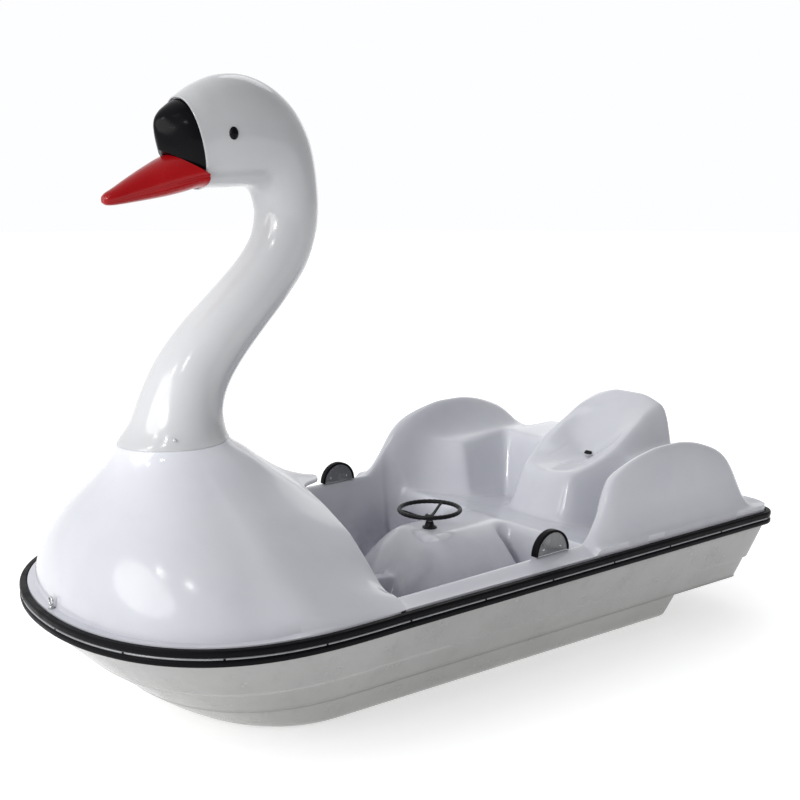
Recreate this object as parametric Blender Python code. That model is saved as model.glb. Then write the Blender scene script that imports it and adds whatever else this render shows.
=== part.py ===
# Two-seat swan pedal boat.
# Frame: +X to the bow, +Y to port, +Z up, origin on the flat bottom under the middle of the length.
# All lengths in metres.
import math

import bmesh
import bpy
import numpy as np
from mathutils import Matrix, Vector

for ob in list(bpy.data.objects):
    bpy.data.objects.remove(ob, do_unlink=True)

# ---------------------------------------------------------------- driving dimensions
HALF_LEN = 1.4465          # rub rail to amidships, bow and stern
BOW_X0 = 0.55              # where the bow curve starts
BEAM_BOW = 0.750           # half beam at BOW_X0
BEAM_GROW = 0.025          # half beam gained per metre towards the stern
STERN_R = 0.09             # stern corner radius in plan
Z_FLANGE = 0.4160          # joint between hull and deck flanges
DECK_EDGE_Z = 0.446        # deck height just inside the rub rail
SILL_Y, SILL_Z = 0.655, 0.474
FLOOR_Z = 0.085
SHELL = 0.005              # glass-fibre thickness of deck, tub and cowl
HULL_T = 0.006

STEP_X, STEP_Z = -0.985, 0.118     # stern step: raised bottom aft of STEP_X
TRANSOM_X = -1.412
TUNNEL_R = 0.12            # half-round propeller tunnel above the raised bottom

CRANK = Vector((0.42, 0.0, 0.26))  # crankshaft axis
THROW = 0.105
BAR_R = 0.010
SHAFT_SLOPE = 0.09         # propeller shaft drop per metre towards the stern
SHAFT_R = 0.012
PROP_X, PROP_R = -1.095, 0.094
RUD_X = -1.275             # rudder stock

COL_X = -0.178             # steering column on the console
WHEEL_Z, WHEEL_R, RIM_R = 0.491, 0.124, 0.0095
ARM_R = 0.060              # steering arm
TILLER_R = 0.080           # tiller arm
ROD_Z = 0.290

DISC_X, DISC_Y, DISC_Z, DISC_R = -0.190, 0.664, 0.4765, 0.086

SEAM_X, SEAM_Z = 0.942, 0.936      # neck seam ring centre
SEAM_A, SEAM_B = 0.205, 0.176      # its half length ahead of the centre and half width
SEAM_AFT = 0.168           # its half length behind the centre
GAP = 0.0003


def seam(ang):
    """Point of the neck seam ring at an angle from the bow."""
    c, s = math.cos(ang), math.sin(ang)
    return SEAM_X + (SEAM_A if c > 0 else SEAM_AFT) * c, SEAM_B * s


# ---------------------------------------------------------------- materials
def material(name, colour, rough, metal=0.0):
    m = bpy.data.materials.new(name)
    m.use_nodes = True
    b = m.node_tree.nodes["Principled BSDF"]
    b.inputs["Base Color"].default_value = (*colour, 1.0)
    b.inputs["Roughness"].default_value = rough
    b.inputs["Metallic"].default_value = metal
    return m


GEL = (0.80, 0.81, 0.84)
LOOKS = {
    "gelcoat": (GEL, 0.18, 0.0),
    "hull": ((0.74, 0.75, 0.74), 0.25, 0.0),
    "black": ((0.01, 0.01, 0.012), 0.2, 0.0),
    "red": ((0.55, 0.01, 0.01), 0.2, 0.0),
    "rubber": ((0.015, 0.015, 0.017), 0.5, 0.0),
    "steel": ((0.55, 0.56, 0.58), 0.3, 1.0),
    "plastic": ((0.03, 0.03, 0.03), 0.5, 0.0),
    "grey": ((0.35, 0.36, 0.37), 0.5, 0.0),
    "bronze": ((0.55, 0.38, 0.16), 0.35, 1.0),
    "foam": ((0.75, 0.70, 0.50), 0.9, 0.0),
}


def add(name, verts, faces, look, smooth=True):
    me = bpy.data.meshes.new(name)
    me.from_pydata([tuple(v) for v in verts], [], faces)
    me.validate()
    bm = bmesh.new()
    bm.from_mesh(me)
    bmesh.ops.remove_doubles(bm, verts=bm.verts, dist=1e-6)
    bmesh.ops.recalc_face_normals(bm, faces=bm.faces)
    bm.to_mesh(me)
    bm.free()
    ob = bpy.data.objects.new(name, me)
    bpy.context.scene.collection.objects.link(ob)
    c, r, mt = LOOKS[look]
    me.materials.append(material(name + "_mat", c, r, mt))
    if smooth:
        me.shade_smooth()
        me.set_sharp_from_angle(angle=math.radians(35))
    return ob


def cutter(ob):
    ob.hide_render = True
    ob.display_type = "WIRE"
    return ob


def boolean(ob, other, op="DIFFERENCE"):
    m = ob.modifiers.new(op.lower() + "_" + other.name, "BOOLEAN")
    m.operation = op
    m.solver = "EXACT"
    m.object = cutter(other)
    return ob


def loft(rings, closed=True, caps=(True, True)):
    """Verts and faces through rings of equal length."""
    n = len(rings[0])
    verts = [p for r in rings for p in r]
    faces = []
    for k in range(len(rings) - 1):
        for i in range(n if closed else n - 1):
            j = (i + 1) % n
            faces.append((k * n + i, k * n + j, (k + 1) * n + j, (k + 1) * n + i))
    if caps[0]:
        faces.append(tuple(range(n - 1, -1, -1)))
    if caps[1]:
        faces.append(tuple((len(rings) - 1) * n + i for i in range(n)))
    return verts, faces


def frame_of(axis):
    a = Vector(axis).normalized()
    u = Vector((0, 0, 1)) if abs(a.z) < 0.9 else Vector((1, 0, 0))
    x = u.cross(a).normalized()
    return x, a.cross(x).normalized(), a


def turned(name, base, axis, profile, look, seg=16, hole=None):
    """A turned piece: profile is (distance along axis, radius) pairs, hole an inner radius."""
    x, y, a = frame_of(axis)
    base = Vector(base)
    outer = [[base + a * s + (x * math.cos(t) + y * math.sin(t)) * r
              for t in [2 * math.pi * i / seg for i in range(seg)]] for s, r in profile]
    if hole is None:
        return add(name, *loft(outer), look)
    ends = [(profile[-1][0], hole), (profile[0][0], hole)]
    inner = [[base + a * s + (x * math.cos(t) + y * math.sin(t)) * r
              for t in [2 * math.pi * i / seg for i in range(seg)]] for s, r in ends]
    rings = outer + inner + [outer[0]]
    v, f = loft(rings, caps=(False, False))
    return add(name, v, f, look)


def block(name, lo, hi, look, bevel=0.0, seg=1):
    lo, hi = Vector(lo), Vector(hi)
    bm = bmesh.new()
    bmesh.ops.create_cube(bm, size=1.0)
    bmesh.ops.scale(bm, vec=hi - lo, verts=bm.verts)
    if bevel:
        bmesh.ops.bevel(bm, geom=bm.edges[:], offset=bevel, segments=seg, affect="EDGES")
    bmesh.ops.translate(bm, vec=(lo + hi) / 2, verts=bm.verts)
    me = bpy.data.meshes.new(name)
    bm.to_mesh(me)
    bm.free()
    ob = bpy.data.objects.new(name, me)
    bpy.context.scene.collection.objects.link(ob)
    c, r, mt = LOOKS[look]
    me.materials.append(material(name + "_mat", c, r, mt))
    return ob


def bent_bar(name, path, radius, look, seg=10, caps=True):
    """A round bar along a polyline, mitred at its corners."""
    pts = [Vector(p) for p in path]
    rings = []
    d0 = (pts[1] - pts[0]).normalized()
    x, y, _ = frame_of(d0)
    for i, p in enumerate(pts):
        din = (pts[i] - pts[i - 1]).normalized() if i else d0
        dout = (pts[i + 1] - pts[i]).normalized() if i < len(pts) - 1 else din
        bis = (din + dout).normalized()
        ring = []
        for k in range(seg):
            t = 2 * math.pi * (k + 0.5) / seg
            q = (x * math.cos(t) + y * math.sin(t)) * radius
            q = q - din * (q.dot(bis) / din.dot(bis))
            ring.append(p + q)
        rings.append(ring)
        rot = din.rotation_difference(dout)
        x, y = rot @ x, rot @ y
    return add(name, *loft(rings), look)


def smooth(a, b, x):
    t = np.clip((np.asarray(x, float) - a) / (b - a), 0.0, 1.0)
    return t * t * (3 - 2 * t)


# ---------------------------------------------------------------- plan outlines
def beam(x):
    return BEAM_BOW + BEAM_GROW * np.clip(BOW_X0 - x, 0, None)


def outline(tip, x0, half, p, q, stern, corner, n_side=3, n_bow=18, n_corner=6, n_stern=2):
    """Closed plan outline, counter-clockwise from the bow tip along port, stern and starboard."""
    port = []
    for i in range(n_bow):
        t = math.pi / 2 * (1 - i / n_bow)
        s = math.sin(t) ** (2 / p)
        port.append((x0 + (tip - x0) * s, half(x0 + (tip - x0) * s) * math.cos(t) ** (2 / q)))
    for i in range(n_side + 1):
        x = x0 + (stern + corner - x0) * i / n_side
        port.append((x, half(x)))
    yc = half(stern + corner) - corner
    for i in range(1, n_corner + 1):
        t = math.pi / 2 * i / n_corner
        port.append((stern + corner - corner * math.sin(t), yc + corner * math.cos(t)))
    for i in range(1, n_stern + 1):
        port.append((stern, yc * (1 - i / n_stern)))
    star = [(x, -y) for x, y in port[1:-1]][::-1]
    return port + star


def inset(poly, d):
    """Offset a closed outline inwards by d along its point normals."""
    p = np.array(poly, float)
    t = np.roll(p, -1, 0) - np.roll(p, 1, 0)
    t /= np.linalg.norm(t, axis=1)[:, None]
    n = np.stack([-t[:, 1], t[:, 0]], 1)
    q = p + n * d
    q[np.abs(p[:, 1]) < 1e-9, 1] = 0.0
    return q


RAIL = outline(HALF_LEN, BOW_X0, beam, 3.10, 2.10, -HALF_LEN, STERN_R)


def hull_ring(z, skin=0.0):
    """Hull outline at height z; skin moves it inwards."""
    f = min(max(z / 0.385, 0.0), 1.0)
    tip = 0.952 + (1.420 - 0.952) * f ** 0.72
    x0 = 0.60 + (BOW_X0 - 0.60) * f
    low = 0.012 * (1 - smooth(0.0, 0.012, z)) + (0.007 if z < 0.222 else 0.0)

    def half(x):
        bottom = 0.474 - 0.058 * (x - 0.60)
        top = beam(x) - 0.030
        return bottom + (top - bottom) * f ** 0.93 - low

    o = outline(tip - low, x0, half, 2.4 + 0.7 * f, 2.3 - 0.2 * f, TRANSOM_X, 0.05)
    return [(x, y, z) for x, y in (inset(o, skin) if skin else o)]


# ---------------------------------------------------------------- lower hull
levels = [0.0, 0.010, 0.060, 0.130, 0.2215, 0.2225, 0.300, 0.360, 0.4085]
hull_rings = [hull_ring(z) for z in levels]
edge = inset(RAIL, 0.0128)
hull_rings.append([(x, y, 0.4085) for x, y in edge])
hull_rings.append([(x, y, Z_FLANGE - GAP) for x, y in edge])
hull = add("hull_shell", *loft(hull_rings), "hull")
room = [hull_ring(z, HULL_T) for z in (HULL_T, 0.060, 0.130, 0.2205, 0.2290, 0.300, 0.360, 0.4085)]
room.append([(x, y, 0.45) for x, y, _ in room[-1]])
room = add("hull_room", *loft(room), "hull")


def under_stern(name, grow, x_end):
    """The space under the raised stern: a flat step and a half-round tunnel."""
    z = STEP_Z + grow
    pts = [(-1.2, -0.2), (1.2, -0.2), (1.2, z), (TUNNEL_R + grow, z)]
    pts += [((TUNNEL_R + grow) * math.cos(math.pi * i / 7), z + TUNNEL_R * math.sin(math.pi * i / 7))
            for i in range(1, 7)]
    pts += [(-TUNNEL_R - grow, z), (-1.2, z)]
    return add(name, *loft([[(x, y, z_) for y, z_ in pts] for x in (STEP_X + grow, x_end)]), "hull", smooth=False)


boolean(hull, under_stern("step_cut", 0.0, -1.6))
boolean(room, under_stern("step_skin", HULL_T, -1.7))
boolean(hull, room)

shaft_dir = Vector((-1.0, 0.0, -SHAFT_SLOPE)).normalized()


def shaft_point(x):
    return Vector((x, 0.0, CRANK.z + (x - CRANK.x) * SHAFT_SLOPE))


boolean(hull, turned("stern_tube_hole", shaft_point(-0.90), shaft_dir, [(0, 0.0193), (0.15, 0.0193)], "hull", 16))
boolean(hull, turned("rudder_tube_hole", (RUD_X, 0, 0.20), (0, 0, 1), [(0, 0.0174), (0.12, 0.0174)], "hull", 18))
boolean(hull, turned("drain_hole", (TRANSOM_X + 0.03, 0.30, 0.175), (-1, 0, 0), [(0, 0.0143), (0.08, 0.0143)],
                     "hull", 12))

# ---------------------------------------------------------------- deck and cockpit surface
WELL = [(0.930, 0.0), (0.930, 0.250), (0.800, 0.420), (0.520, 0.655), (-0.420, 0.655), (-0.500, 0.635),
        (-0.760, 0.450), (-1.070, 0.500), (-1.070, 0.205), (-0.870, 0.185), (-0.870, 0.0)]


def well_edge(x):
    """Half width of the cockpit opening at x."""
    xs = [-1.5, -1.07, -0.76, -0.50, -0.42, 0.52, 0.80, 0.93, 1.5]
    ys = [0.50, 0.50, 0.45, 0.635, 0.655, 0.655, 0.42, 0.25, 0.25]
    return np.interp(x, xs, ys)


def floor_edge(x):
    """Half width of the flat floor."""
    return np.interp(x, [-0.5, 0.2, 0.5, 0.72, 0.88], [0.545, 0.525, 0.490, 0.36, 0.20])


def ridge_z(x):
    """Height of the wing crest along the boat."""
    xs = [-1.37, -1.33, -1.30, -1.26, -1.20, -1.10, -1.00, -0.90, -0.80, -0.70, -0.60, -0.55, -0.50, -0.46, -0.41,
          -0.37]
    zs = [0.455, 0.475, 0.54, 0.635, 0.70, 0.746, 0.774, 0.785, 0.783, 0.766, 0.736, 0.712, 0.670, 0.61, 0.53, 0.478]
    return np.interp(x, xs, zs)


def side_deck(x, y):
    d = np.clip(beam(x) - 0.027 - np.abs(y), 0, None)
    return DECK_EDGE_Z + (SILL_Z - DECK_EDGE_Z) * smooth(-0.02, 0.085, d)


def after_block(x, y):
    """Raised after deck, wings and tail."""
    a = np.abs(y)
    top = 0.600 + 0.045 * smooth(-0.95, -1.35, x)
    crest = ridge_z(x)
    inner = 0.625 + (crest - 0.625) * smooth(0.535, 0.655, a)
    outer = crest + (0.47 - crest) * smooth(0.672, 0.735 + 0.02 * smooth(-0.6, -1.2, x), a)
    wing = np.where(a < 0.664, np.where(crest > 0.625, inner, crest), outer)
    z = np.where(a > 0.50, wing, top + (0.625 - top) * smooth(0.42, 0.54, a))
    # housing between the seats, running up into the tail
    mid = np.interp(x, [-1.43, -1.40, -1.33, -1.25, -1.18, -1.145, -1.10, -0.98, -0.87],
                    [0.884, 0.878, 0.806, 0.700, 0.610, 0.580, 0.576, 0.562, 0.552])
    side = np.interp(x, [-1.43, -1.39, -1.30, -1.22, -1.10, -1.02, -0.95, -0.87],
                     [0.826, 0.822, 0.790, 0.748, 0.680, 0.634, 0.602, 0.572])
    spine = mid + (side - mid) * smooth(0.02 + 0.07 * smooth(-1.28, -1.36, x), 0.185, a)
    z = z + (spine - z) * (1 - smooth(0.195, 0.265, a))
    rear = smooth(-1.384, -1.412, x)
    return z + (0.470 - z) * rear


def inner_surface(x, y):
    """Floor, console, bench and shaft cover inside the cockpit."""
    a = np.abs(y)
    fe, we = floor_edge(x), well_edge(x)
    t = np.clip((a - fe) / np.maximum(we - fe, 0.02), 0, 1)
    z = FLOOR_Z + 0.385 * t ** 1.6
    front = smooth(0.86, 0.925, x)
    z = z + (0.42 - z) * front
    cover = (CRANK.z + (x - CRANK.x) * SHAFT_SLOPE + 0.036) * smooth(0.335, 0.300, x)
    z = np.maximum(z, FLOOR_Z + (cover - FLOOR_Z) * (1 - smooth(0.038, 0.064, a)) * (x < 0.335))
    console = FLOOR_Z + (0.414 - FLOOR_Z) * smooth(0.085, -0.105, x) * (1 - smooth(0.120, 0.152, a))
    z = np.maximum(z, console)
    pan = 0.408 - 0.17 * np.clip(-0.50 - x, 0, None)
    bench = FLOOR_Z + (pan - FLOOR_Z) * smooth(-0.445, -0.480, x)
    return np.where(x < -0.445, np.maximum(z * 0 + bench, np.where(a < 0.15, console * (x > -0.50), 0)), z)


def back_x(a):
    """Where the backrests stand, measured along X."""
    return np.interp(a, [0.0, 0.185, 0.205, 0.450, 0.500], [-0.870, -0.870, -1.070, -1.070, -1.070])


def height(x, y):
    """Top surface of deck, wings, tail and cockpit."""
    x, y = np.asarray(x, float), np.asarray(y, float)
    a = np.abs(y)
    out = np.where(x < -0.36, np.maximum(side_deck(x, y), after_block(x, y)), side_deck(x, y))
    inn = inner_surface(x, y)
    side = well_edge(x) - a
    wall = np.where(x > -0.445, 0.012, 0.055)
    s = smooth(0.0, 1.0, side / wall) * (a < 2)
    rest = 0.200 - 0.004
    back = x - np.where(a < 0.195, -0.870, -1.070)
    t = np.minimum(s, smooth(0.0, 0.060, back))
    # inboard sides of the recesses beside the centre housing
    inb = np.where(x < -0.870, smooth(0.185, 0.215, a), 1.0)
    t = np.minimum(t, inb)
    return out + (inn - out) * t


CORNER_X = -HALF_LEN + STERN_R     # where the stern corner's rounding starts


def port_lines(x):
    """Half widths of the lengthwise mesh lines at station x."""
    w, b = float(well_edge(x)), float(beam(max(x, CORNER_X)))
    fe = min(float(floor_edge(x)), w - 0.03) if x > -0.46 else w - 0.060
    lines = [0.0, 0.040, 0.062, 0.122, 0.150, 0.185, 0.215]
    lines += [0.215 + (fe - 0.215) * 0.5, fe, fe + (w - 0.014 - fe) * 0.5, w - 0.014, w]
    if x < -0.36:
        mid = [max(w + 0.012, 0.545), max(w + 0.016, 0.610), max(w + 0.020, 0.664), max(w + 0.024, 0.705)]
        mid = [min(m, b - 0.052 + 0.004 * i) for i, m in enumerate(mid)]
    else:
        mid = [w + 0.012, w + 0.030, w + 0.050]
        mid = mid + [mid[-1] + 0.012]
    return lines + mid + [b - 0.0270, b - 0.0242, b - 0.0134]


def round_corner(x, y):
    """Carry a point of the square stern corner onto the rounded one."""
    yc = float(beam(CORNER_X)) - STERN_R
    u, v = CORNER_X - x, abs(y) - yc
    if u <= 0 or v <= 0:
        return x, y
    s, t = max(u, v), min(u, v) / max(u, v)
    c, q = s * math.cos(math.pi / 4 * t), s * math.sin(math.pi / 4 * t)
    u, v = (c, q) if u >= v else (q, c)
    return CORNER_X - u, math.copysign(yc + v, y)


N_IN = 12                  # lines up to the cockpit edge


def deck_grid():
    xs = [-1.4331, -1.4223, -1.4195, -1.404, -1.385, -1.362, -1.33, -1.28, -1.22, -1.15, -1.10, -1.070, -1.050,
          -1.030, -1.010, -0.93, -0.870, -0.852, -0.832, -0.810, -0.76, -0.69, -0.60, -0.545, -0.500, -0.480,
          -0.445, -0.40, -0.355, -0.24, -0.105, -0.058, -0.010, 0.038, 0.085, 0.300, 0.335, 0.5150]
    return xs


def lean(x, y, z):
    """The tail's rear face leans back over the stern."""
    k = smooth(-1.25, -1.40, x) * smooth(0.50, 0.86, z) * (1 - smooth(0.24, 0.30, abs(y)))
    return float(x - 0.052 * k), y, z


def deck_z(x, y, j, n):
    if j >= n - 2 or x <= -1.4222:
        return Z_FLANGE + GAP + SHELL + 0.0015
    return float(height(x, y))


def grid_solid(name, keep, look, xs, shrink=0.0, thickness=SHELL, lines=port_lines, zf=deck_z, outside=None):
    """The kept cells of the deck grid, thickened downwards."""
    rows = []
    for x in xs:
        half = lines(x)
        n = len(half)
        full = [(-h, j) for j, h in list(enumerate(half))[::-1]] + [(h, j) for j, h in list(enumerate(half))[1:]]
        rows.append([lean(*round_corner(x, y), zf(x, y, j, n)) for y, j in full])
    n = len(rows[0])
    bm = bmesh.new()
    vs = {}

    def vert(i, k):
        if (i, k) not in vs:
            vs[i, k] = bm.verts.new(rows[i][k])
        return vs[i, k]

    for i in range(len(xs) - 1):
        for k in range(n - 1):
            cx = (rows[i][k][0] + rows[i + 1][k][0]) / 2
            j = max(abs(k - n // 2), abs(k + 1 - n // 2))
            if keep(cx, j):
                bm.faces.new((vert(i, k), vert(i + 1, k), vert(i + 1, k + 1), vert(i, k + 1)))
    bmesh.ops.recalc_face_normals(bm, faces=bm.faces)
    if sum(fc.normal.z for fc in bm.faces) < 0:
        bmesh.ops.reverse_faces(bm, faces=bm.faces)
    if shrink:
        bm.normal_update()
        moved = {}
        for vtx in [w for w in bm.verts if w.is_boundary]:
            d = Vector((0, 0, 0))
            for fc in vtx.link_faces:
                d += fc.calc_center_median() - vtx.co
            moved[vtx] = d.normalized() * shrink
        for vtx, d in moved.items():
            vtx.co += d
    me = bpy.data.meshes.new(name)
    bm.to_mesh(me)
    bm.free()
    ob = bpy.data.objects.new(name, me)
    bpy.context.scene.collection.objects.link(ob)
    c, r, mt = LOOKS[look]
    me.materials.append(material(name + "_mat", c, r, mt))
    me.shade_smooth()
    me.set_sharp_from_angle(angle=math.radians(35))
    so = ob.modifiers.new("thickness", "SOLIDIFY")
    so.thickness = thickness
    so.offset = -1.0
    so.use_even_offset = False
    return ob


def in_tub(cx, j):
    """Cells inside the cockpit, below the lip."""
    if cx < -1.050:
        return False
    if j > N_IN - 2:
        return False
    if cx < -0.852 and j <= 6:
        return False
    return True


deck = grid_solid("upper_deck", lambda cx, j: not in_tub(cx, j), "gelcoat", deck_grid())


def tub_lines(x):
    w = float(well_edge(x))
    fe = min(float(floor_edge(x)), w - 0.03) if x > -0.46 else w - 0.060
    lines = [0.0, 0.034, 0.054, 0.122, 0.150, 0.185, 0.215]
    k = [min(v_, (w - 0.04) * (0.55 + 0.05 * i)) if i > 3 else v_ for i, v_ in enumerate(lines)]
    lines = k if w < 0.30 else lines
    return lines + [lines[-1] + (fe - lines[-1]) * 0.5, fe, fe + (w - 0.014 - fe) * 0.5, w - 0.014]


def tub_z(x, y, j, n):
    z = float(height(x, y))
    return z if x < 0.5151 else min(z, 0.437)


tub_xs = [x if x != -0.852 else -0.848 for x in deck_grid() if -1.0501 < x < 0.5151] + [0.62, 0.74, 0.82, 0.86, 0.905, 0.93]
tub = grid_solid("cockpit_tub", in_tub, "gelcoat", tub_xs, shrink=0.0040, lines=tub_lines, zf=tub_z)
boolean(tub, turned("shaft_hole_tub", shaft_point(0.39), shaft_dir, [(0, 0.0150), (0.16, 0.0150)], "gelcoat", 12))
boolean(tub, turned("column_hole", (COL_X, 0, 0.36), (0, 0, 1), [(0, 0.0125), (0.1, 0.0125)], "gelcoat", 12))

# ---------------------------------------------------------------- front cowl
COWL_X = 0.520
N_RING = 9


def rim_z(y):
    """Height of the cowl's rear arch at half width y."""
    a = np.abs(y)
    return np.interp(a, [0, 0.05, 0.10, 0.18, 0.25, 0.32, 0.39, 0.46, 0.505, 0.55, 0.595, 0.62],
                     [0.772, 0.757, 0.740, 0.714, 0.690, 0.660, 0.628, 0.578, 0.542, 0.505, 0.480, 0.472])


def bez(a, b, c, d, t):
    return a * (1 - t) ** 3 + 3 * b * t * (1 - t) ** 2 + 3 * c * t * t * (1 - t) + d * t ** 3


def cowl_outline():
    """Port half of the cowl's edge from the bow tip round to the top of the rear arch."""
    pts = []
    r = inset(RAIL, 0.027)
    for i in range(19):
        x, y = r[i]
        if x > COWL_X + 0.012:
            pts.append((x, y, DECK_EDGE_Z))
    yb = beam(COWL_X) - 0.027
    pts.append((COWL_X, yb, DECK_EDGE_Z))
    for y in (0.690, 0.655, 0.62, 0.585, 0.55, 0.505, 0.46, 0.39, 0.32, 0.25, 0.18, 0.13, 0.10, 0.07, 0.035, 0.0):
        z = float(rim_z(y)) if y <= 0.62 else float(side_deck(COWL_X, y))
        k = 1 - smooth(0.0, 0.135, y)
        pts.append((float(COWL_X - 0.135 * k), y, float(z - 0.046 * k)))
    return pts


def breast(x):
    """Bezier handles (r1, h1, r2, h2) of the bow's profile for a gunwale point at x."""
    front = float(smooth(0.70, 1.30, x))
    return (0.17 * front + 0.16 * (1 - front), 0.77 * front + 0.70 * (1 - front),
            0.88 * front + 0.66 * (1 - front), 0.33 * front + 0.52 * (1 - front))


EDGE_IN = np.array([(x, y) for x, y in inset(RAIL, 0.027)[:22]])
MID_Y = float(np.interp(-SEAM_X, -EDGE_IN[:, 0], EDGE_IN[:, 1]))
T_MID = np.linspace(0, 1, 25)
R1, H1, R2, H2 = breast(SEAM_X)
MID_SECTION = (SEAM_B + (MID_Y - SEAM_B) * bez(0, R1, R2, 1, T_MID),
               DECK_EDGE_Z + (SEAM_Z - DECK_EDGE_Z) * bez(1, H1, H2, 0, T_MID))


def cowl_top(x, y):
    """Height of the cowl behind the neck: the rear arch grows into the section through the neck."""
    half = float(np.interp(-x, -EDGE_IN[:, 0], EDGE_IN[:, 1]))
    n = min(abs(y) / half, 1.0)
    ym = n * MID_Y
    mid = float(np.interp(ym, *MID_SECTION)) if ym > SEAM_B else 0.936 + 0.03 * (1 - (ym / SEAM_B) ** 2)
    yr = n * (float(beam(COWL_X)) - 0.027)
    rear = float(rim_z(yr)) if yr < 0.62 else float(side_deck(COWL_X, yr))
    u = min(max((x - COWL_X) / (SEAM_X - COWL_X), 0.0), 1.0)
    w = u * (1.3 - 0.3 * u * u)
    return rear + (mid - rear) * w - 0.34 * max(COWL_X - x, 0.0)


LEDGE = 0.026              # flat ledge between breast and rub rail at the bow


def cowl_rings():
    port = cowl_outline()
    r = inset(RAIL, 0.027 + LEDGE)
    base = []
    for i, (x, y, z) in enumerate(port):
        k = float(smooth(0.62, 1.05, x)) if z == DECK_EDGE_Z and i < 19 else 0.0
        base.append((x + (r[i][0] - x) * k, y + (r[i][1] - y) * k, z + 0.0015 * k) if k > 0 else (x, y, z))
    rings = []
    for k in range(N_RING + 1):
        t = k / N_RING
        ring = []
        for x, y, z in base:
            ang = math.atan2(y / SEAM_B, (x - SEAM_X + 0.10 * float(smooth(1.20, 0.75, x))) / SEAM_A)
            if y == 0.0:
                ang = 0.0 if x > SEAM_X else math.pi
            sx, sy = seam(ang)
            if x > SEAM_X:
                r1, h1, r2, h2 = breast(x)
                r, h = bez(0, r1, r2, 1, t), bez(1, h1, h2, 0, t)
                px, py, pz = sx + (x - sx) * r, sy + (y - sy) * r, z + (SEAM_Z - z) * h
            else:
                r = bez(0, 0.14, 0.62, 1, t)
                px, py = sx + (x - sx) * r, sy + (y - sy) * r
                d = math.hypot(px - sx, py - sy)
                root = 1 - float(smooth(0.0, 0.17, d))
                pz = cowl_top(px, py) + (SEAM_Z - cowl_top(sx, sy)) * root
            if k == N_RING:
                pz = z
            if k == 0:
                pz = SEAM_Z
            ring.append((px, py, pz))
        rings.append(ring)
    last = []
    for i, (x, y, z) in enumerate(port):
        last.append((x, y, z))
        if math.dist(rings[-1][i], (x, y, z)) < 0.004:
            rings[-1][i] = tuple(c + (d - c) * 0.09 for c, d in zip((x, y, z), rings[-2][i]))
    rings.append(last)
    return rings


half_rings = cowl_rings()
full = []
for ring in half_rings:
    full.append(ring + [(x, -y, z) for x, y, z in ring[1:-1]][::-1])
# flange out to the rub rail round the bow, a plain edge along the rear arch
last = []
flange = []
r2 = inset(RAIL, 0.0242)
r3 = inset(RAIL, 0.0134)
zf = Z_FLANGE + GAP + SHELL + 0.0015
n_bow = sum(1 for p in cowl_outline() if p[0] > COWL_X + 0.001)
port = cowl_outline()
a_, b_ = [], []
for i, p in enumerate(port):
    if i < n_bow:
        a_.append((r2[i][0], r2[i][1], zf))
        b_.append((r3[i][0], r3[i][1], zf))
    elif i == n_bow:
        a_.append((COWL_X, float(beam(COWL_X)) - 0.0242, zf))
        b_.append((COWL_X, float(beam(COWL_X)) - 0.0134, zf))
    else:
        break
bm = bmesh.new()
rows = [[bm.verts.new(p) for p in ring] for ring in full]
n = len(full[0])
for k in range(len(rows) - 1):
    for i in range(n):
        j = (i + 1) % n
        bm.faces.new((rows[k][i], rows[k + 1][i], rows[k + 1][j], rows[k][j]))
m = len(a_)
for ring_a, ring_b in (((a_), (b_)),):
    va = [bm.verts.new(p) for p in ring_a] + [bm.verts.new((x, -y, z)) for x, y, z in ring_a[1:]]
    vb = [bm.verts.new(p) for p in ring_b] + [bm.verts.new((x, -y, z)) for x, y, z in ring_b[1:]]
    for i in range(m - 1):
        bm.faces.new((rows[-1][i], va[i], va[i + 1], rows[-1][i + 1]))
        bm.faces.new((va[i], vb[i], vb[i + 1], va[i + 1]))
        s0 = 0 if i == 0 else m - 1 + i
        s1 = m + i
        t0 = 0 if i == 0 else n - i
        t1 = n - i - 1
        bm.faces.new((rows[-1][t0], rows[-1][t1], va[s1], va[s0]))
        bm.faces.new((va[s0], va[s1], vb[s1], vb[s0]))
bmesh.ops.recalc_face_normals(bm, faces=bm.faces)
if sum(fc.normal.z for fc in bm.faces) < 0:
    bmesh.ops.reverse_faces(bm, faces=bm.faces)
me = bpy.data.meshes.new("front_cowl")
bm.to_mesh(me)
bm.free()
cowl = bpy.data.objects.new("front_cowl", me)
bpy.context.scene.collection.objects.link(cowl)
me.materials.append(material("front_cowl_mat", *LOOKS["gelcoat"]))
me.shade_smooth()
me.set_sharp_from_angle(angle=math.radians(35))
so = cowl.modifiers.new("thickness", "SOLIDIFY")
so.thickness = SHELL
so.offset = -1.0
so.use_even_offset = False

# ---------------------------------------------------------------- neck and head
# centre line (x, z) and radius of the neck from the seam up into the head
NECK = [(0.942, 0.936, 0.190), (0.936, 0.989, 0.160), (0.925, 1.045, 0.146), (0.884, 1.147, 0.130),
        (0.806, 1.250, 0.120), (0.703, 1.354, 0.112), (0.600, 1.458, 0.108), (0.524, 1.560, 0.109),
        (0.490, 1.670, 0.112), (0.498, 1.780, 0.118), (0.548, 1.880, 0.128), (0.640, 1.945, 0.132)]
# head stations: x, top, bottom, half width
HEAD = [(0.408, 1.968, 1.900, 0.026), (0.425, 1.998, 1.876, 0.050), (0.455, 2.034, 1.850, 0.076),
        (0.500, 2.073, 1.822, 0.101), (0.580, 2.127, 1.790, 0.130), (0.660, 2.146, 1.776, 0.138), (0.740, 2.142, 1.774, 0.136),
        (0.820, 2.118, 1.774, 0.125), (0.880, 2.080, 1.776, 0.110), (0.960, 2.010, 1.790, 0.080)]
FACE_X, FACE_Z, FACE_LEAN = 0.835, 1.775, 0.230     # the face plane leans forward upwards


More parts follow.
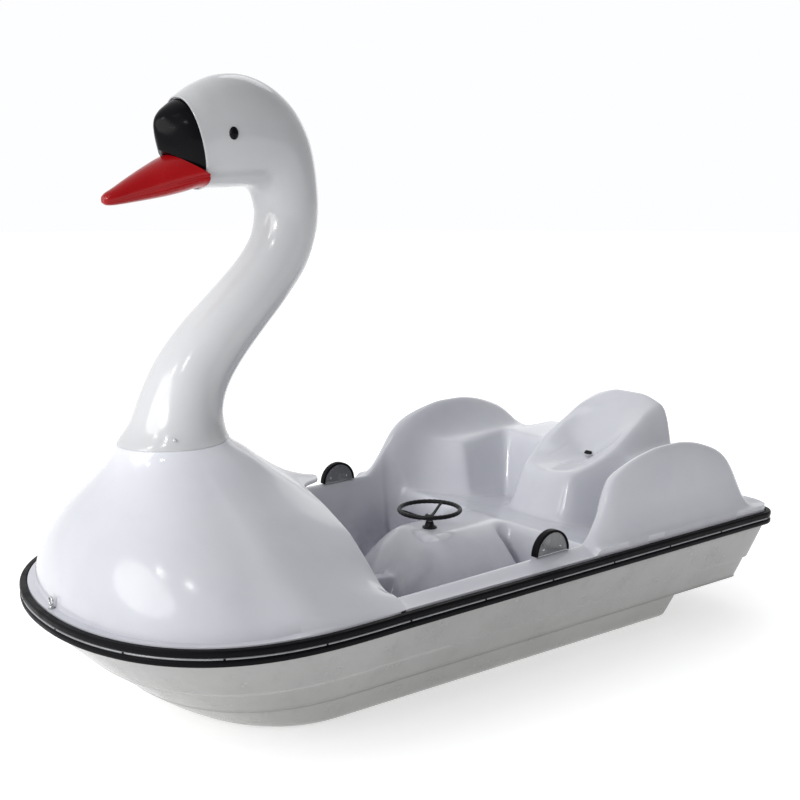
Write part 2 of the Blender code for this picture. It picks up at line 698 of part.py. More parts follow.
def ring_section(cx, cz, a, b, tilt, n=16, squash=1.0):
    """Ellipse of half length a (in the XZ plane) and half width b; tilt is the path's direction."""
    tx, tz = tilt
    nx, nz = -tz, tx
    return [(cx + nx * a * math.cos(t), b * math.sin(t), cz + nz * a * math.cos(t))
            for t in [2 * math.pi * i / n for i in range(n)]]


def neck_rings(skin, start=0):
    rings = []
    for i, (x, z, r) in enumerate(NECK[start:]):
        i += start
        p, q = NECK[max(i - 1, 0)], NECK[min(i + 1, len(NECK) - 1)]
        d = Vector((q[0] - p[0], q[1] - p[1])).normalized()
        if i == 0:
            ts = [math.pi - 2 * math.pi * k / 16 for k in range(16)]
            rings.append([((seam(t)[0] - x) * (1 - skin / SEAM_A) + x, seam(t)[1] * (1 - skin / SEAM_B), z)
                          for t in ts])
            continue
        if i == 1:
            d = Vector((-0.06, 1)).normalized()
            a, b = 0.158, 0.158
        else:
            a = b = r
        rings.append(ring_section(x, z, a - skin, b - skin, d))
    return rings


def head_rings(skin):
    rings = []
    for x, t, b, w in HEAD:
        c, h = (t + b) / 2, (t - b) / 2
        s = min(skin, w * 0.5)
        rings.append([(x, (w - s) * math.copysign(abs(math.sin(u)) ** 0.9, math.sin(u)),
                       c + (h - s) * math.copysign(abs(math.cos(u)) ** 0.9, math.cos(u)))
                      for u in [2 * math.pi * i / 16 for i in range(16)]])
    return rings


def clip(ob, point, normal):
    """Cut away what lies beyond a plane and close the cut."""
    bm = bmesh.new()
    bm.from_mesh(ob.data)
    res = bmesh.ops.bisect_plane(bm, geom=bm.verts[:] + bm.edges[:] + bm.faces[:], plane_co=point,
                                 plane_no=normal, clear_outer=True)
    edges = [e for e in bm.edges if e.is_boundary]
    bmesh.ops.edgeloop_fill(bm, edges=edges)
    bmesh.ops.recalc_face_normals(bm, faces=bm.faces)
    bm.to_mesh(ob.data)
    bm.free()
    return ob


face_point = Vector((FACE_X, 0, FACE_Z))
face_normal = Vector((1.0, 0.0, -FACE_LEAN)).normalized()

bottom = neck_rings(0.0)
neck = add("neck_and_head", *loft(bottom), "gelcoat")
head = add("head_form", *loft(head_rings(0.0)), "gelcoat")
clip(head, face_point, face_normal)
boolean(neck, head, "UNION")
inner = neck_rings(SHELL)
low = [(x, y, z - 0.02) for x, y, z in inner[0]]
inner = [low] + inner[:-1]
hollow = add("neck_hollow", *loft(inner), "gelcoat")
head_in = add("head_hollow", *loft(head_rings(0.012)), "gelcoat")
clip(head_in, face_point - face_normal * 0.010, face_normal)
boolean(hollow, head_in, "UNION")
boolean(neck, hollow)

# face mask above the beak, both in front of the face plane
MASK = [(-0.020, 2.066, 1.765, 0.119), (0.0, 2.056, 1.765, 0.116), (0.025, 2.045, 1.768, 0.104),
        (0.047, 2.032, 1.772, 0.088), (0.070, 2.016, 1.785, 0.066), (0.090, 1.996, 1.815, 0.041),
        (0.102, 1.974, 1.850, 0.020), (0.107, 1.950, 1.890, 0.007)]
PART_POINT = Vector((0.850, 0, 1.818))
PART_NORMAL = Vector((-0.60, 0, 1.0)).normalized()


def mask_rings():
    rings = []
    for s, t, b, w in MASK:
        c, h = (t + b) / 2, (t - b) / 2
        ring = []
        for i in range(16):
            u = 2 * math.pi * i / 16
            z = c + h * math.cos(u)
            ring.append((FACE_X + FACE_LEAN * (z - FACE_Z) + s, w * math.sin(u), z))
        rings.append(ring)
    return rings


mask = add("face_mask", *loft(mask_rings()), "black")
clip(mask, face_point + face_normal * GAP * 2, -face_normal)
clip(mask, PART_POINT + PART_NORMAL * GAP, -PART_NORMAL)

# beak stations: x, top, bottom, half width
BEAK = [(0.780, 1.900, 1.770, 0.124), (0.850, 1.897, 1.7705, 0.113), (0.900, 1.892, 1.758, 0.099),
        (0.955, 1.874, 1.745, 0.081), (1.016, 1.842, 1.734, 0.061), (1.080, 1.804, 1.724, 0.044),
        (1.130, 1.772, 1.718, 0.031), (1.156, 1.753, 1.722, 0.020), (1.167, 1.743, 1.730, 0.007)]


def beak_rings():
    rings = []
    for x, t, b, w in BEAK:
        mid = b + (t - b) * 0.42
        ring = []
        for i in range(14):
            u = 2 * math.pi * i / 14
            c, s = math.cos(u), math.sin(u)
            z = mid + (t - mid) * c if c > 0 else mid + (mid - b) * c
            ring.append((x, w * math.copysign(abs(s) ** 0.85, s), z))
        rings.append(ring)
    return rings


beak = add("beak", *loft(beak_rings()), "red")
clip(beak, face_point + face_normal * GAP * 2, -face_normal)
clip(beak, PART_POINT - PART_NORMAL * GAP, PART_NORMAL)


def eye(name, side):
    x, y, z = 0.768, 0.1335, 1.946
    nrm = Vector((0.10, side * 1.0, 0.05)).normalized()
    u = Vector((1, -side * 0.10, 0)).normalized()
    w = nrm.cross(u).normalized()
    base = Vector((x, side * y, z))
    rings = []
    for s, k in ((0.0035, 0.94), (0.0075, 0.80), (0.0100, 0.45)):
        rings.append([base + nrm * s + u * 0.0145 * k * math.cos(t) + w * 0.0205 * k * math.sin(t)
                      for t in [2 * math.pi * i / 12 for i in range(12)]])
    return add(name, *loft(rings), "black")


eye("eye_port", 1)
eye("eye_starboard", -1)


def radial_screw(name, ang):
    """Pan-head screw through the neck's skirt."""
    z = SEAM_Z + 0.035
    c, s = math.cos(ang), math.sin(ang)
    a = SEAM_A * 0.900
    b = SEAM_B * 0.955
    p = Vector((SEAM_X - 0.003 + a * c, b * s, z))
    nrm = Vector((c / a, s / b, 0.18)).normalized()
    return turned(name, p + nrm * 0.0055, nrm, [(0, 0.0055), (0.0015, 0.0055), (0.0030, 0.0035)], "steel", 8)


radial_screw("neck_screw_port", math.radians(62))
radial_screw("neck_screw_starboard", math.radians(-62))

# ---------------------------------------------------------------- rub rail
def swept(name, profile, look):
    """Closed profile of (inset, z) pairs swept round the gunwale."""
    rings = []
    for d, z in profile:
        rings.append([(x, y, z) for x, y in inset(RAIL, d)])
    v, f = loft(rings + [rings[0]], caps=(False, False))
    return add(name, v, f, look)


swept("rub_rail", [(0.0224, 0.3920), (0.0040, 0.3920), (0.0, 0.3970), (0.0, 0.4110), (0.0052, 0.4140),
                   (0.0052, 0.4225), (0.0, 0.4255), (0.0, 0.4395), (0.0040, 0.4440), (0.0224, 0.4440),
                   (0.0224, 0.4262), (0.0120, 0.4262), (0.0120, 0.4078), (0.0224, 0.4078)], "rubber")
swept("rail_insert", [(0.0049, 0.4146), (0.0018, 0.4158), (0.0018, 0.4208), (0.0049, 0.4219)], "grey")

# ---------------------------------------------------------------- bow eye bolt
EYE = Vector((1.4065, 0, 0.4480))


def bow_eye():
    cz = EYE.z + 0.0225
    rings = []
    for i in range(12):
        t = 2 * math.pi * i / 12
        c = Vector((EYE.x, 0.0140 * math.sin(t), cz - 0.0140 * math.cos(t)))
        o = Vector((0, math.sin(t), -math.cos(t)))
        rings.append([c + o * 0.0040 * math.cos(u) + Vector((0.0040 * math.sin(u), 0, 0))
                      for u in [2 * math.pi * (k + 0.5) / 8 for k in range(8)]])
    v, f = loft(rings + [rings[0]], caps=(False, False))
    ob = add("bow_eye_bolt", v, f, "steel")
    boolean(ob, turned("eye_foot", (EYE.x, 0, EYE.z + GAP), (0, 0, 1),
                       [(0, 0.0105), (0.002, 0.0105), (0.0035, 0.0060), (0.0075, 0.0048)], "steel", 12), "UNION")
    return ob


bow_eye()

# ---------------------------------------------------------------- steering
rake = Vector((0.0, 0.0, 1.0))


def handwheel():
    seg_r, seg_t = 8, 32
    rings = []
    for i in range(seg_t):
        t = 2 * math.pi * i / seg_t
        o = Vector((math.cos(t), math.sin(t), 0))
        rings.append([Vector((COL_X, 0, WHEEL_Z)) + o * (WHEEL_R + RIM_R * math.cos(u)) +
                      Vector((0, 0, RIM_R * math.sin(u))) for u in
                      [2 * math.pi * (k + 0.5) / seg_r for k in range(seg_r)]])
    v, f = loft(rings + [rings[0]], caps=(False, False))
    ob = add("handwheel", v, f, "plastic")
    hub = turned("wheel_hub", (COL_X, 0, 0.446), (0, 0, 1), [(0, 0.017), (0.004, 0.019), (0.022, 0.019), (0.026, 0.015)],
                 "plastic", 14)
    boolean(ob, hub, "UNION")
    for k, ang in enumerate((205.0, 325.0, 85.0)):
        a = math.radians(ang)
        d = Vector((math.cos(a), math.sin(a), 0))
        s = Vector((-math.sin(a), math.cos(a), 0))
        c = Vector((COL_X, 0, 0))
        path = [(0.012, 0.459), (0.045, 0.465), (0.090, 0.482), (0.124, 0.4905)]
        rings = []
        for r, z in path:
            p = c + d * r + Vector((0, 0, z))
            rings.append([p + s * 0.0065 + Vector((0, 0, 0.0030)), p - s * 0.0065 + Vector((0, 0, 0.0030)),
                          p - s * 0.0065 - Vector((0, 0, 0.0030)), p + s * 0.0065 - Vector((0, 0, 0.0030))])
        boolean(ob, add("wheel_spoke_%d" % k, *loft(rings), "plastic", smooth=False), "UNION")
    boolean(ob, turned("wheel_bore", (COL_X, 0, 0.44), (0, 0, 1), [(0, 0.0093), (0.025, 0.0093)], "plastic", 12))
    return ob


handwheel()
turned("steering_shaft", (COL_X, 0, 0.2600), (0, 0, 1), [(0, 0.009), (0.2045, 0.009)], "steel", 12)
turned("column_flange", (COL_X, 0, 0.4147), (0, 0, 1), [(0, 0.030), (0.004, 0.030), (0.010, 0.020), (0.026, 0.0155)],
       "plastic", 16, hole=0.0096)


def arm(name, centre, z, radius, side, bore, look, pin_z):
    """Arm with a hub round the shaft and an upright pin at its end."""
    cx, cy = centre
    ob = turned(name, (cx, cy, z), (0, 0, 1), [(0, 0.019), (0.012, 0.019)], look, 14)
    body = block(name + "_bar", (cx - 0.009, min(cy, cy + side * radius), z),
                 (cx + 0.009, max(cy, cy + side * radius), z + 0.010), look)
    boolean(ob, body, "UNION")
    boolean(ob, turned(name + "_boss", (cx, cy + side * radius, z), (0, 0, 1), [(0, 0.012), (0.010, 0.012)], look, 12),
            "UNION")
    boolean(ob, turned(name + "_pin", (cx, cy + side * radius, z + 0.002), (0, 0, 1), [(0, 0.0040), (pin_z, 0.0040)],
                       look, 10), "UNION")
    boolean(ob, turned(name + "_bore", (cx, cy, z - 0.01), (0, 0, 1), [(0, bore), (0.04, bore)], look, 12))
    return ob


arm("steering_arm", (COL_X, 0.0), 0.272, ARM_R, 1, 0.0093, "steel", 0.030)
arm("tiller_arm", (RUD_X, 0.0), 0.272, TILLER_R, -1, 0.0103, "steel", 0.030)


def steering_rod():
    """Flat bar crossing to the other side, with a slotted yoke at each end over the two arm pins."""
    z0, z1 = ROD_Z - 0.003, ROD_Z + 0.003
    xa, ya, xt, yt = COL_X, ARM_R, RUD_X, -TILLER_R
    ob = block("steering_rod", (xa - 0.022, ya - 0.036, z0), (xa + 0.022, ya + 0.024, z1), "steel")
    boolean(ob, block("rod_aft_yoke", (xt - 0.022, yt - 0.024, z0), (xt + 0.022, yt + 0.036, z1), "steel"), "UNION")
    w = 0.008
    v = [(xa - 0.018, ya - w, z0), (xa - 0.018, ya + w, z0), (xt + 0.018, yt + w, z0), (xt + 0.018, yt - w, z0)]
    v += [(x, y, z1) for x, y, _ in v]
    boolean(ob, add("rod_bar", v, [(3, 2, 1, 0), (4, 5, 6, 7), (0, 1, 5, 4), (1, 2, 6, 5), (2, 3, 7, 6), (3, 0, 4, 7)],
                    "steel", smooth=False), "UNION")
    for k, (x, lo, hi) in enumerate(((xa, ya - 0.024, ya + 0.0075), (xt, yt - 0.0075, yt + 0.024))):
        boolean(ob, block("rod_slot_%d" % k, (x - 0.0085, lo, z0 - 0.01), (x + 0.0085, hi, z1 + 0.01), "steel"))
    return ob


steering_rod()
turned("rudder_stock", (RUD_X, 0, 0.2260), (0, 0, 1), [(0, 0.010), (0.064, 0.010)], "steel", 12)
turned("rudder_tube", (RUD_X, 0, 0.2300), (0, 0, 1), [(0, 0.0168), (0.040, 0.0168)], "bronze", 16, hole=0.0105)


def rudder_blade():
    xs = [(0.050, 0.003), (0.020, 0.009), (-0.030, 0.008), (-0.110, 0.003)]
    prof = [(RUD_X + x, t) for x, t in xs] + [(RUD_X + x, -t) for x, t in xs[::-1]]
    rings = [[(x, y, z) for x, y in prof] for z in (0.016, 0.205)]
    ob = add("rudder_blade", *loft(rings), "steel", smooth=False)
    boolean(ob, turned("blade_boss", (RUD_X, 0, 0.150), (0, 0, 1), [(0, 0.0125), (0.075, 0.0125)], "steel", 12), "UNION")
    return ob


rudder_blade()

# ---------------------------------------------------------------- pedals and drive
WEBS = (0.170, 0.285, 0.400)
JOURNAL_END = 0.492


def crankshaft():
    pts = [(-JOURNAL_END, 0)]
    pts += [(-WEBS[2], 0), (-WEBS[2], -1), (-WEBS[1], -1), (-WEBS[1], 1), (-WEBS[0], 1), (-WEBS[0], 0)]
    pts += [(WEBS[0], 0), (WEBS[0], -1), (WEBS[1], -1), (WEBS[1], 1), (WEBS[2], 1), (WEBS[2], 0)]
    pts += [(JOURNAL_END, 0)]
    path = [(CRANK.x + THROW * s, y, CRANK.z) for y, s in pts]
    return bent_bar("crankshaft", path, BAR_R, "steel", seg=10)


crankshaft()


def pedal(name, y0, y1, sx):
    cx = CRANK.x + THROW * sx
    a, b = y0 + BAR_R + 0.0025, y1 - BAR_R - 0.0025
    ob = block(name, (cx - 0.046, a, CRANK.z - 0.0150), (cx + 0.046, b, CRANK.z + 0.0150), "plastic", bevel=0.006)
    boolean(ob, turned(name + "_bore", (cx, a - 0.01, CRANK.z), (0, 1, 0), [(0, 0.0106), (b - a + 0.02, 0.0106)],
                       "plastic", 14))
    return ob


pedal("pedal_port_inner", WEBS[0], WEBS[1], -1)
pedal("pedal_port_outer", WEBS[1], WEBS[2], 1)
pedal("pedal_starboard_inner", -WEBS[1], -WEBS[0], 1)
pedal("pedal_starboard_outer", -WEBS[2], -WEBS[1], -1)


def bearing(name, side):
    """Pedestal bearing on the cockpit floor."""
    y0, y1 = sorted((side * 0.448, side * 0.478))
    ob = block(name, (CRANK.x - 0.022, y0, FLOOR_Z + 0.012 + GAP), (CRANK.x + 0.022, y1, CRANK.z + 0.022), "grey",
               bevel=0.004)
    boolean(ob, block(name + "_foot", (CRANK.x - 0.045, y0 - 0.004, FLOOR_Z + GAP * 2), (CRANK.x + 0.045, y1 + 0.004,
                      FLOOR_Z + 0.014), "grey"), "UNION")
    boolean(ob, turned(name + "_bore", (CRANK.x, y0 - 0.01, CRANK.z), (0, 1, 0), [(0, 0.0106), (0.06, 0.0106)], "grey",
                       14))
    return ob


bearing("crank_bearing_port", 1)
bearing("crank_bearing_starboard", -1)

CROWN_R, PINION_R, N_CROWN, N_PINION = 0.064, 0.020, 32, 10
PIN_X = CRANK.x - CROWN_R * math.cos(math.atan(SHAFT_SLOPE))


def gearbox():
    x0, x1, z0, z1 = 0.3400, 0.5000, FLOOR_Z + GAP * 2, 0.3400
    ob = block("gearbox_case", (x0, -0.0400, z0), (x1, 0.0400, z1), "grey", bevel=0.006)
    boolean(ob, block("gearbox_room", (x0 + 0.006, -0.060, 0.180), (x1 - 0.006, 0.034, z1 - 0.006), "grey"))
    boolean(ob, turned("gearbox_crank_hole", (CRANK.x, 0.0, CRANK.z), (0, 1, 0), [(0, 0.0125), (0.06, 0.0125)], "grey", 14))
    boolean(ob, turned("gearbox_shaft_hole", shaft_point(0.36), shaft_dir, [(0, 0.0135), (0.05, 0.0135)], "grey", 14))
    cv = block("gearbox_cover", (x0, -0.0460, 0.170), (x1, -0.0403, z1), "grey", bevel=0.002)
    boolean(cv, turned("cover_crank_hole", (CRANK.x, -0.08, CRANK.z), (0, 1, 0), [(0, 0.0125), (0.06, 0.0125)], "grey", 14))
    return ob


gearbox()


def toothed(name, blank, n, centre, axis_frame, r0, r1, a0, a1, width, look, phase=0.0, radial=False):
    """Union block teeth onto a gear blank."""
    x, y, a = axis_frame
    bm = bmesh.new()
    for k in range(n):
        t = 2 * math.pi * (k + phase) / n
        o = x * math.cos(t) + y * math.sin(t)
        s = a.cross(o)
        c = []
        for ra, aa in ((r0, a0), (r1, a0), (r1, a1), (r0, a1)):
            shrink = 0.72 if (ra == r1 and not radial) or (aa == a1 and radial) else 1.0
            for sg in (-1, 1):
                c.append(bm.verts.new(centre + o * ra + a * aa + s * sg * width / 2 * shrink))
        for q in ((0, 2, 4, 6), (1, 3, 5, 7)):
            bm.faces.new([c[i] for i in q])
        for i in range(4):
            j = (i + 1) % 4
            bm.faces.new((c[2 * i], c[2 * i + 1], c[2 * j + 1], c[2 * j]))
    bmesh.ops.recalc_face_normals(bm, faces=bm.faces)
    me = bpy.data.meshes.new(name + "_teeth")
    bm.to_mesh(me)
    bm.free()
    t_ob = bpy.data.objects.new(name + "_teeth", me)
    bpy.context.scene.collection.objects.link(t_ob)
    boolean(blank, t_ob, "UNION")
    return blank


def crown_gear():
    ob = turned("crown_gear", (CRANK.x, -0.0345, CRANK.z), (0, 1, 0), [(0, 0.070), (0.0095, 0.070)], "steel", 32)
    fr = frame_of((0, 1, 0))
    toothed("crown_gear", ob, N_CROWN, Vector((CRANK.x, 0, CRANK.z)), fr, 0.0585, 0.0695, -0.0265, -0.0187, 0.0048,
            "steel", phase=0.5 - math.atan(SHAFT_SLOPE) * N_CROWN / (2 * math.pi), radial=True)
    boolean(ob, turned("crown_hub", (CRANK.x, -0.0300, CRANK.z), (0, 1, 0), [(0, 0.020), (0.0300, 0.020)], "steel", 16),
            "UNION")
    boolean(ob, turned("crown_bore", (CRANK.x, -0.05, CRANK.z), (0, 1, 0), [(0, 0.0103), (0.08, 0.0103)], "steel", 14))
    return ob


def pinion():
    p = shaft_point(PIN_X) - shaft_dir * 0.0055
    ob = turned("pinion_gear", p, shaft_dir, [(0, 0.0172), (0.011, 0.0172)], "steel", 20)
    toothed("pinion_gear", ob, N_PINION, p, frame_of(shaft_dir), 0.0150, 0.0222, 0.0, 0.0110, 0.0048, "steel",
            phase=PIN_PHASE)
    boolean(ob, turned("pinion_bore", p - shaft_dir * 0.01, shaft_dir, [(0, 0.0083), (0.03, 0.0083)], "steel", 12))
    return ob


# the pinion's first tooth points at the crown gear's plane, into a gap of its teeth
fx, fy, _ = frame_of(shaft_dir)
PIN_PHASE = math.atan2(Vector((0, -1, 0)).dot(fy), Vector((0, -1, 0)).dot(fx)) / (2 * math.pi) * N_PINION
crown_gear()
pinion()

turned("propeller_shaft", shaft_point(PIN_X) - shaft_dir * 0.008, shaft_dir,
       [(0, 0.008), (0.0150, 0.008), (0.0150, SHAFT_R),
        ((shaft_point(PROP_X + 0.028) - shaft_point(PIN_X)).length + 0.008, SHAFT_R),
        ((shaft_point(PROP_X + 0.028) - shaft_point(PIN_X)).length + 0.008, 0.008),
        ((shaft_point(PROP_X - 0.048) - shaft_point(PIN_X)).length + 0.008, 0.008)], "steel", 14)
turned("stern_tube", shaft_point(-0.915), shaft_dir, [(0, 0.0188), (0.110, 0.0188)], "bronze", 16, hole=0.0125)


def propeller():
    c = shaft_point(PROP_X)
    hub = turned("propeller", c - shaft_dir * 0.026, shaft_dir, [(0, 0.018), (0.010, 0.021), (0.040, 0.020), (0.052, 0.016)],
                 "bronze", 14)
    x, y, a = frame_of(shaft_dir)
    for k in range(3):
        t = 2 * math.pi * k / 3 + 0.5
        o = x * math.cos(t) + y * math.sin(t)
        s = a.cross(o)
        rings = []
        for r, ch, tw in ((0.012, 0.018, 52), (0.035, 0.026, 42), (0.062, 0.030, 32), (0.084, 0.024, 26),
                          (PROP_R, 0.010, 24)):
            w = math.radians(tw)
            d = s * math.cos(w) + a * math.sin(w)
            th = a * math.cos(w) - s * math.sin(w)
            tk = 0.0032 if r < PROP_R else 0.0016
            p = c + o * r
            rings.append([p + d * ch + th * tk * 0.3, p + th * tk, p - d * ch + th * tk * 0.3, p - d * ch - th * tk * 0.3,
                          p - th * tk, p + d * ch - th * tk * 0.3])
        boolean(hub, add("prop_blade_%d" % k, *loft(rings), "bronze", smooth=False), "UNION")
    boolean(hub, turned("prop_bore", c + a * -0.05, shaft_dir, [(0, 0.0083), (0.10, 0.0083)], "bronze", 12))
    return hub


propeller()
turned("propeller_nut", shaft_point(PROP_X - 0.0275), shaft_dir, [(0, 0.0140), (0.012, 0.0140), (0.018, 0.010)], "bronze", 6,
       hole=0.0097)

# ---------------------------------------------------------------- discs on the side sills
def disc(name, side):
    """Half-round plate standing fore and aft on the side deck."""
    n = 14
    y0, y1 = sorted((side * (DISC_Y - 0.011), side * (DISC_Y + 0.011)))
    pts = [(DISC_X + (DISC_R - 0.010) * math.cos(math.pi * i / n),
            DISC_Z + (DISC_R - 0.010) * math.sin(math.pi * i / n)) for i in range(n + 1)]
    add(name, *loft([[(x, y, z) for x, z in pts] for y in (y0, y1)]), "grey", smooth=False)
    y0, y1 = sorted((side * (DISC_Y - 0.016), side * (DISC_Y + 0.016)))
    out = [(DISC_X + DISC_R * math.cos(math.pi * i / n), DISC_Z + DISC_R * math.sin(math.pi * i / n))
           for i in range(n + 1)]
    inn = [(DISC_X + (DISC_R - 0.0097) * math.cos(math.pi * i / n),
            DISC_Z + (DISC_R - 0.0097) * math.sin(math.pi * i / n)) for i in range(n, -1, -1)]
    ring = out + inn
    verts, faces = loft([[(x, y, z) for x, z in ring] for y in (y0, y1)], caps=(False, False))
    m_, k_ = len(ring), n + 1
    for b in (0, m_):
        for i in range(n):
            q = (b + i, b + i + 1, b + m_ - 2 - i, b + m_ - 1 - i)
            faces.append(q if b else q[::-1])
    add(name + "_edging", verts, faces, "rubber", smooth=False)


disc("disc_port", 1)
disc("disc_starboard", -1)

# ---------------------------------------------------------------- small fittings and flotation
block("deck_latch", (-1.140, -0.020, 0.5846), (-1.124, 0.020, 0.5940), "plastic", bevel=0.003)
turned("drain_plug", (TRANSOM_X - 0.0003, 0.30, 0.175), (-1, 0, 0), [(0, 0.020), (0.004, 0.020), (0.009, 0.012)], "plastic",
       12)
for nm, s in (("port", 1), ("starboard", -1)):
    y0, y1 = sorted((s * 0.110, s * 0.500))
    block("foam_fore_" + nm, (-0.40, min(s * 0.07, s * 0.40), 0.012), (0.50, max(s * 0.07, s * 0.40), 0.070), "foam")
    block("foam_aft_" + nm, (-0.960, y0, 0.012), (-0.520, y1, 0.270), "foam")
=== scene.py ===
# Visual model of a two-seat swan pedal boat, built around its fixed mechanical frame.
import math

import bmesh
import bpy
import numpy as np
from mathutils import Matrix, Vector


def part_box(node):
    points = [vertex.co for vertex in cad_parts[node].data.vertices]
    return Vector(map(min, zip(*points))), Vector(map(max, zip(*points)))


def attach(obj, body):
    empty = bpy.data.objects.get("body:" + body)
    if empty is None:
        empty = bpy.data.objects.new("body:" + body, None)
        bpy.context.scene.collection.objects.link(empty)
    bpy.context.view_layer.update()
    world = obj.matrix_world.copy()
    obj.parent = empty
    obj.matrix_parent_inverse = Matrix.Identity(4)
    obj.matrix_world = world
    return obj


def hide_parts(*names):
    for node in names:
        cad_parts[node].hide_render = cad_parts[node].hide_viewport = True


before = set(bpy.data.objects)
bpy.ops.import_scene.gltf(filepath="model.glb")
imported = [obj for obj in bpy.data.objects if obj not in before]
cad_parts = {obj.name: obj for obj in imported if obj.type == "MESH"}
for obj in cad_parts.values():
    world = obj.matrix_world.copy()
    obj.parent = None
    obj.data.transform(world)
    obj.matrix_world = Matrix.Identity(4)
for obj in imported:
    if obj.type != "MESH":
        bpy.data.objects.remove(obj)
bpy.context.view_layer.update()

# ---------------------------------------------------------------- dimensions shared with the frame
rail_lo, rail_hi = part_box("rub_rail")
HALF_LEN = rail_hi[0]
BOW_X0, BEAM_BOW, BEAM_GROW, STERN_R = 0.55, 0.750, 0.025, 0.09
DECK_EDGE_Z, SILL_Y, SILL_Z, FLOOR_Z = 0.446, 0.655, 0.474, 0.085
STEP_X, STEP_Z, TRANSOM_X, TUNNEL_R = -0.985, 0.118, -1.412, 0.12
Z_FLANGE = 0.4160
CRANK, THROW, SHAFT_SLOPE = (0.42, 0.0, 0.26), 0.105, 0.09
COL_X, WHEEL_Z, WHEEL_R, RIM_R = -0.178, 0.491, 0.124, 0.0095
SEAM_X, SEAM_Z, SEAM_A, SEAM_B, SEAM_AFT = 0.942, 0.936, 0.205, 0.176, 0.168
COWL_X = 0.520
DISC_X, DISC_Y, DISC_Z, DISC_R = -0.190, 0.664, 0.4765, 0.086
FACE_X, FACE_Z, FACE_LEAN = 0.835, 1.775, 0.230


def smooth(a, b, x):
    t = np.clip((np.asarray(x, float) - a) / (b - a), 0.0, 1.0)
    return t * t * (3 - 2 * t)


def spline(xs, ys, x):
    """Monotone cubic through the points of a design table."""
    xs, ys, x = np.asarray(xs, float), np.asarray(ys, float), np.asarray(x, float)
    h = np.diff(xs)
    d = np.diff(ys) / h
    m = np.zeros_like(ys)
    m[0], m[-1] = d[0], d[-1]
    for i in range(1, len(xs) - 1):
        if d[i - 1] * d[i] > 0:
            w1, w2 = 2 * h[i] + h[i - 1], h[i] + 2 * h[i - 1]
            m[i] = (w1 + w2) / (w1 / d[i - 1] + w2 / d[i])
    xc = np.clip(x, xs[0], xs[-1])
    k = np.clip(np.searchsorted(xs, xc, "right") - 1, 0, len(xs) - 2)
    t = (xc - xs[k]) / h[k]
    return (ys[k] * (2 * t ** 3 - 3 * t ** 2 + 1) + h[k] * m[k] * (t ** 3 - 2 * t ** 2 + t)
            + ys[k + 1] * (3 * t ** 2 - 2 * t ** 3) + h[k] * m[k + 1] * (t ** 3 - t ** 2))


def catmull(table, n):
    """n rows interpolated smoothly along a table of stations."""
    P = np.asarray(table, float)
    k = len(P)
    P = np.vstack([2 * P[0] - P[1], P, 2 * P[-1] - P[-2]])
    u = np.linspace(0, k - 1, n)
    i = np.clip(u.astype(int), 0, k - 2)
    t = (u - i)[:, None]
    a, b, c, d = P[i], P[i + 1], P[i + 2], P[i + 3]
    return 0.5 * (2 * b + (c - a) * t + (2 * a - 5 * b + 4 * c - d) * t ** 2 + (3 * b - a - 3 * c + d) * t ** 3)


# ---------------------------------------------------------------- materials
def nodes_of(m):
    m.use_nodes = True
    nt = m.node_tree
    return nt, nt.nodes, nt.links, nt.nodes["Principled BSDF"]


def noise(nt, coord, scale, detail=3.0, rough=0.5, stretch=None):
    n = nt.nodes.new("ShaderNodeTexNoise")
    n.inputs["Scale"].default_value = scale
    n.inputs["Detail"].default_value = detail
    n.inputs["Roughness"].default_value = rough
    if stretch:
        mp = nt.nodes.new("ShaderNodeMapping")
        mp.inputs["Scale"].default_value = stretch
        nt.links.new(coord, mp.inputs["Vector"])
        coord = mp.outputs["Vector"]
    nt.links.new(coord, n.inputs["Vector"])
    return n.outputs["Fac"]


def ramp(nt, src, lo, hi, a, b):
    r = nt.nodes.new("ShaderNodeMapRange")
    r.interpolation_type = "SMOOTHSTEP"
    for k, v in (("From Min", lo), ("From Max", hi), ("To Min", a), ("To Max", b)):
        r.inputs[k].default_value = v
    nt.links.new(src, r.inputs["Value"])
    return r.outputs["Result"]


def mix(nt, fac, a, b, mode="MIX"):
    m = nt.nodes.new("ShaderNodeMix")
    m.data_type = "RGBA"
    m.blend_type = mode
    for sock, v in ((m.inputs[0], fac), (m.inputs[6], a), (m.inputs[7], b)):
        if isinstance(v, (int, float)):
            sock.default_value = v
        elif isinstance(v, tuple):
            sock.default_value = (*v, 1.0)
        else:
            nt.links.new(v, sock)
    return m.outputs[2]


def bump(nt, chain, height, strength, dist):
    b = nt.nodes.new("ShaderNodeBump")
    b.inputs["Strength"].default_value = strength
    b.inputs["Distance"].default_value = dist
    nt.links.new(height, b.inputs["Height"])
    if chain is not None:
        nt.links.new(chain, b.inputs["Normal"])
    return b.outputs["Normal"]


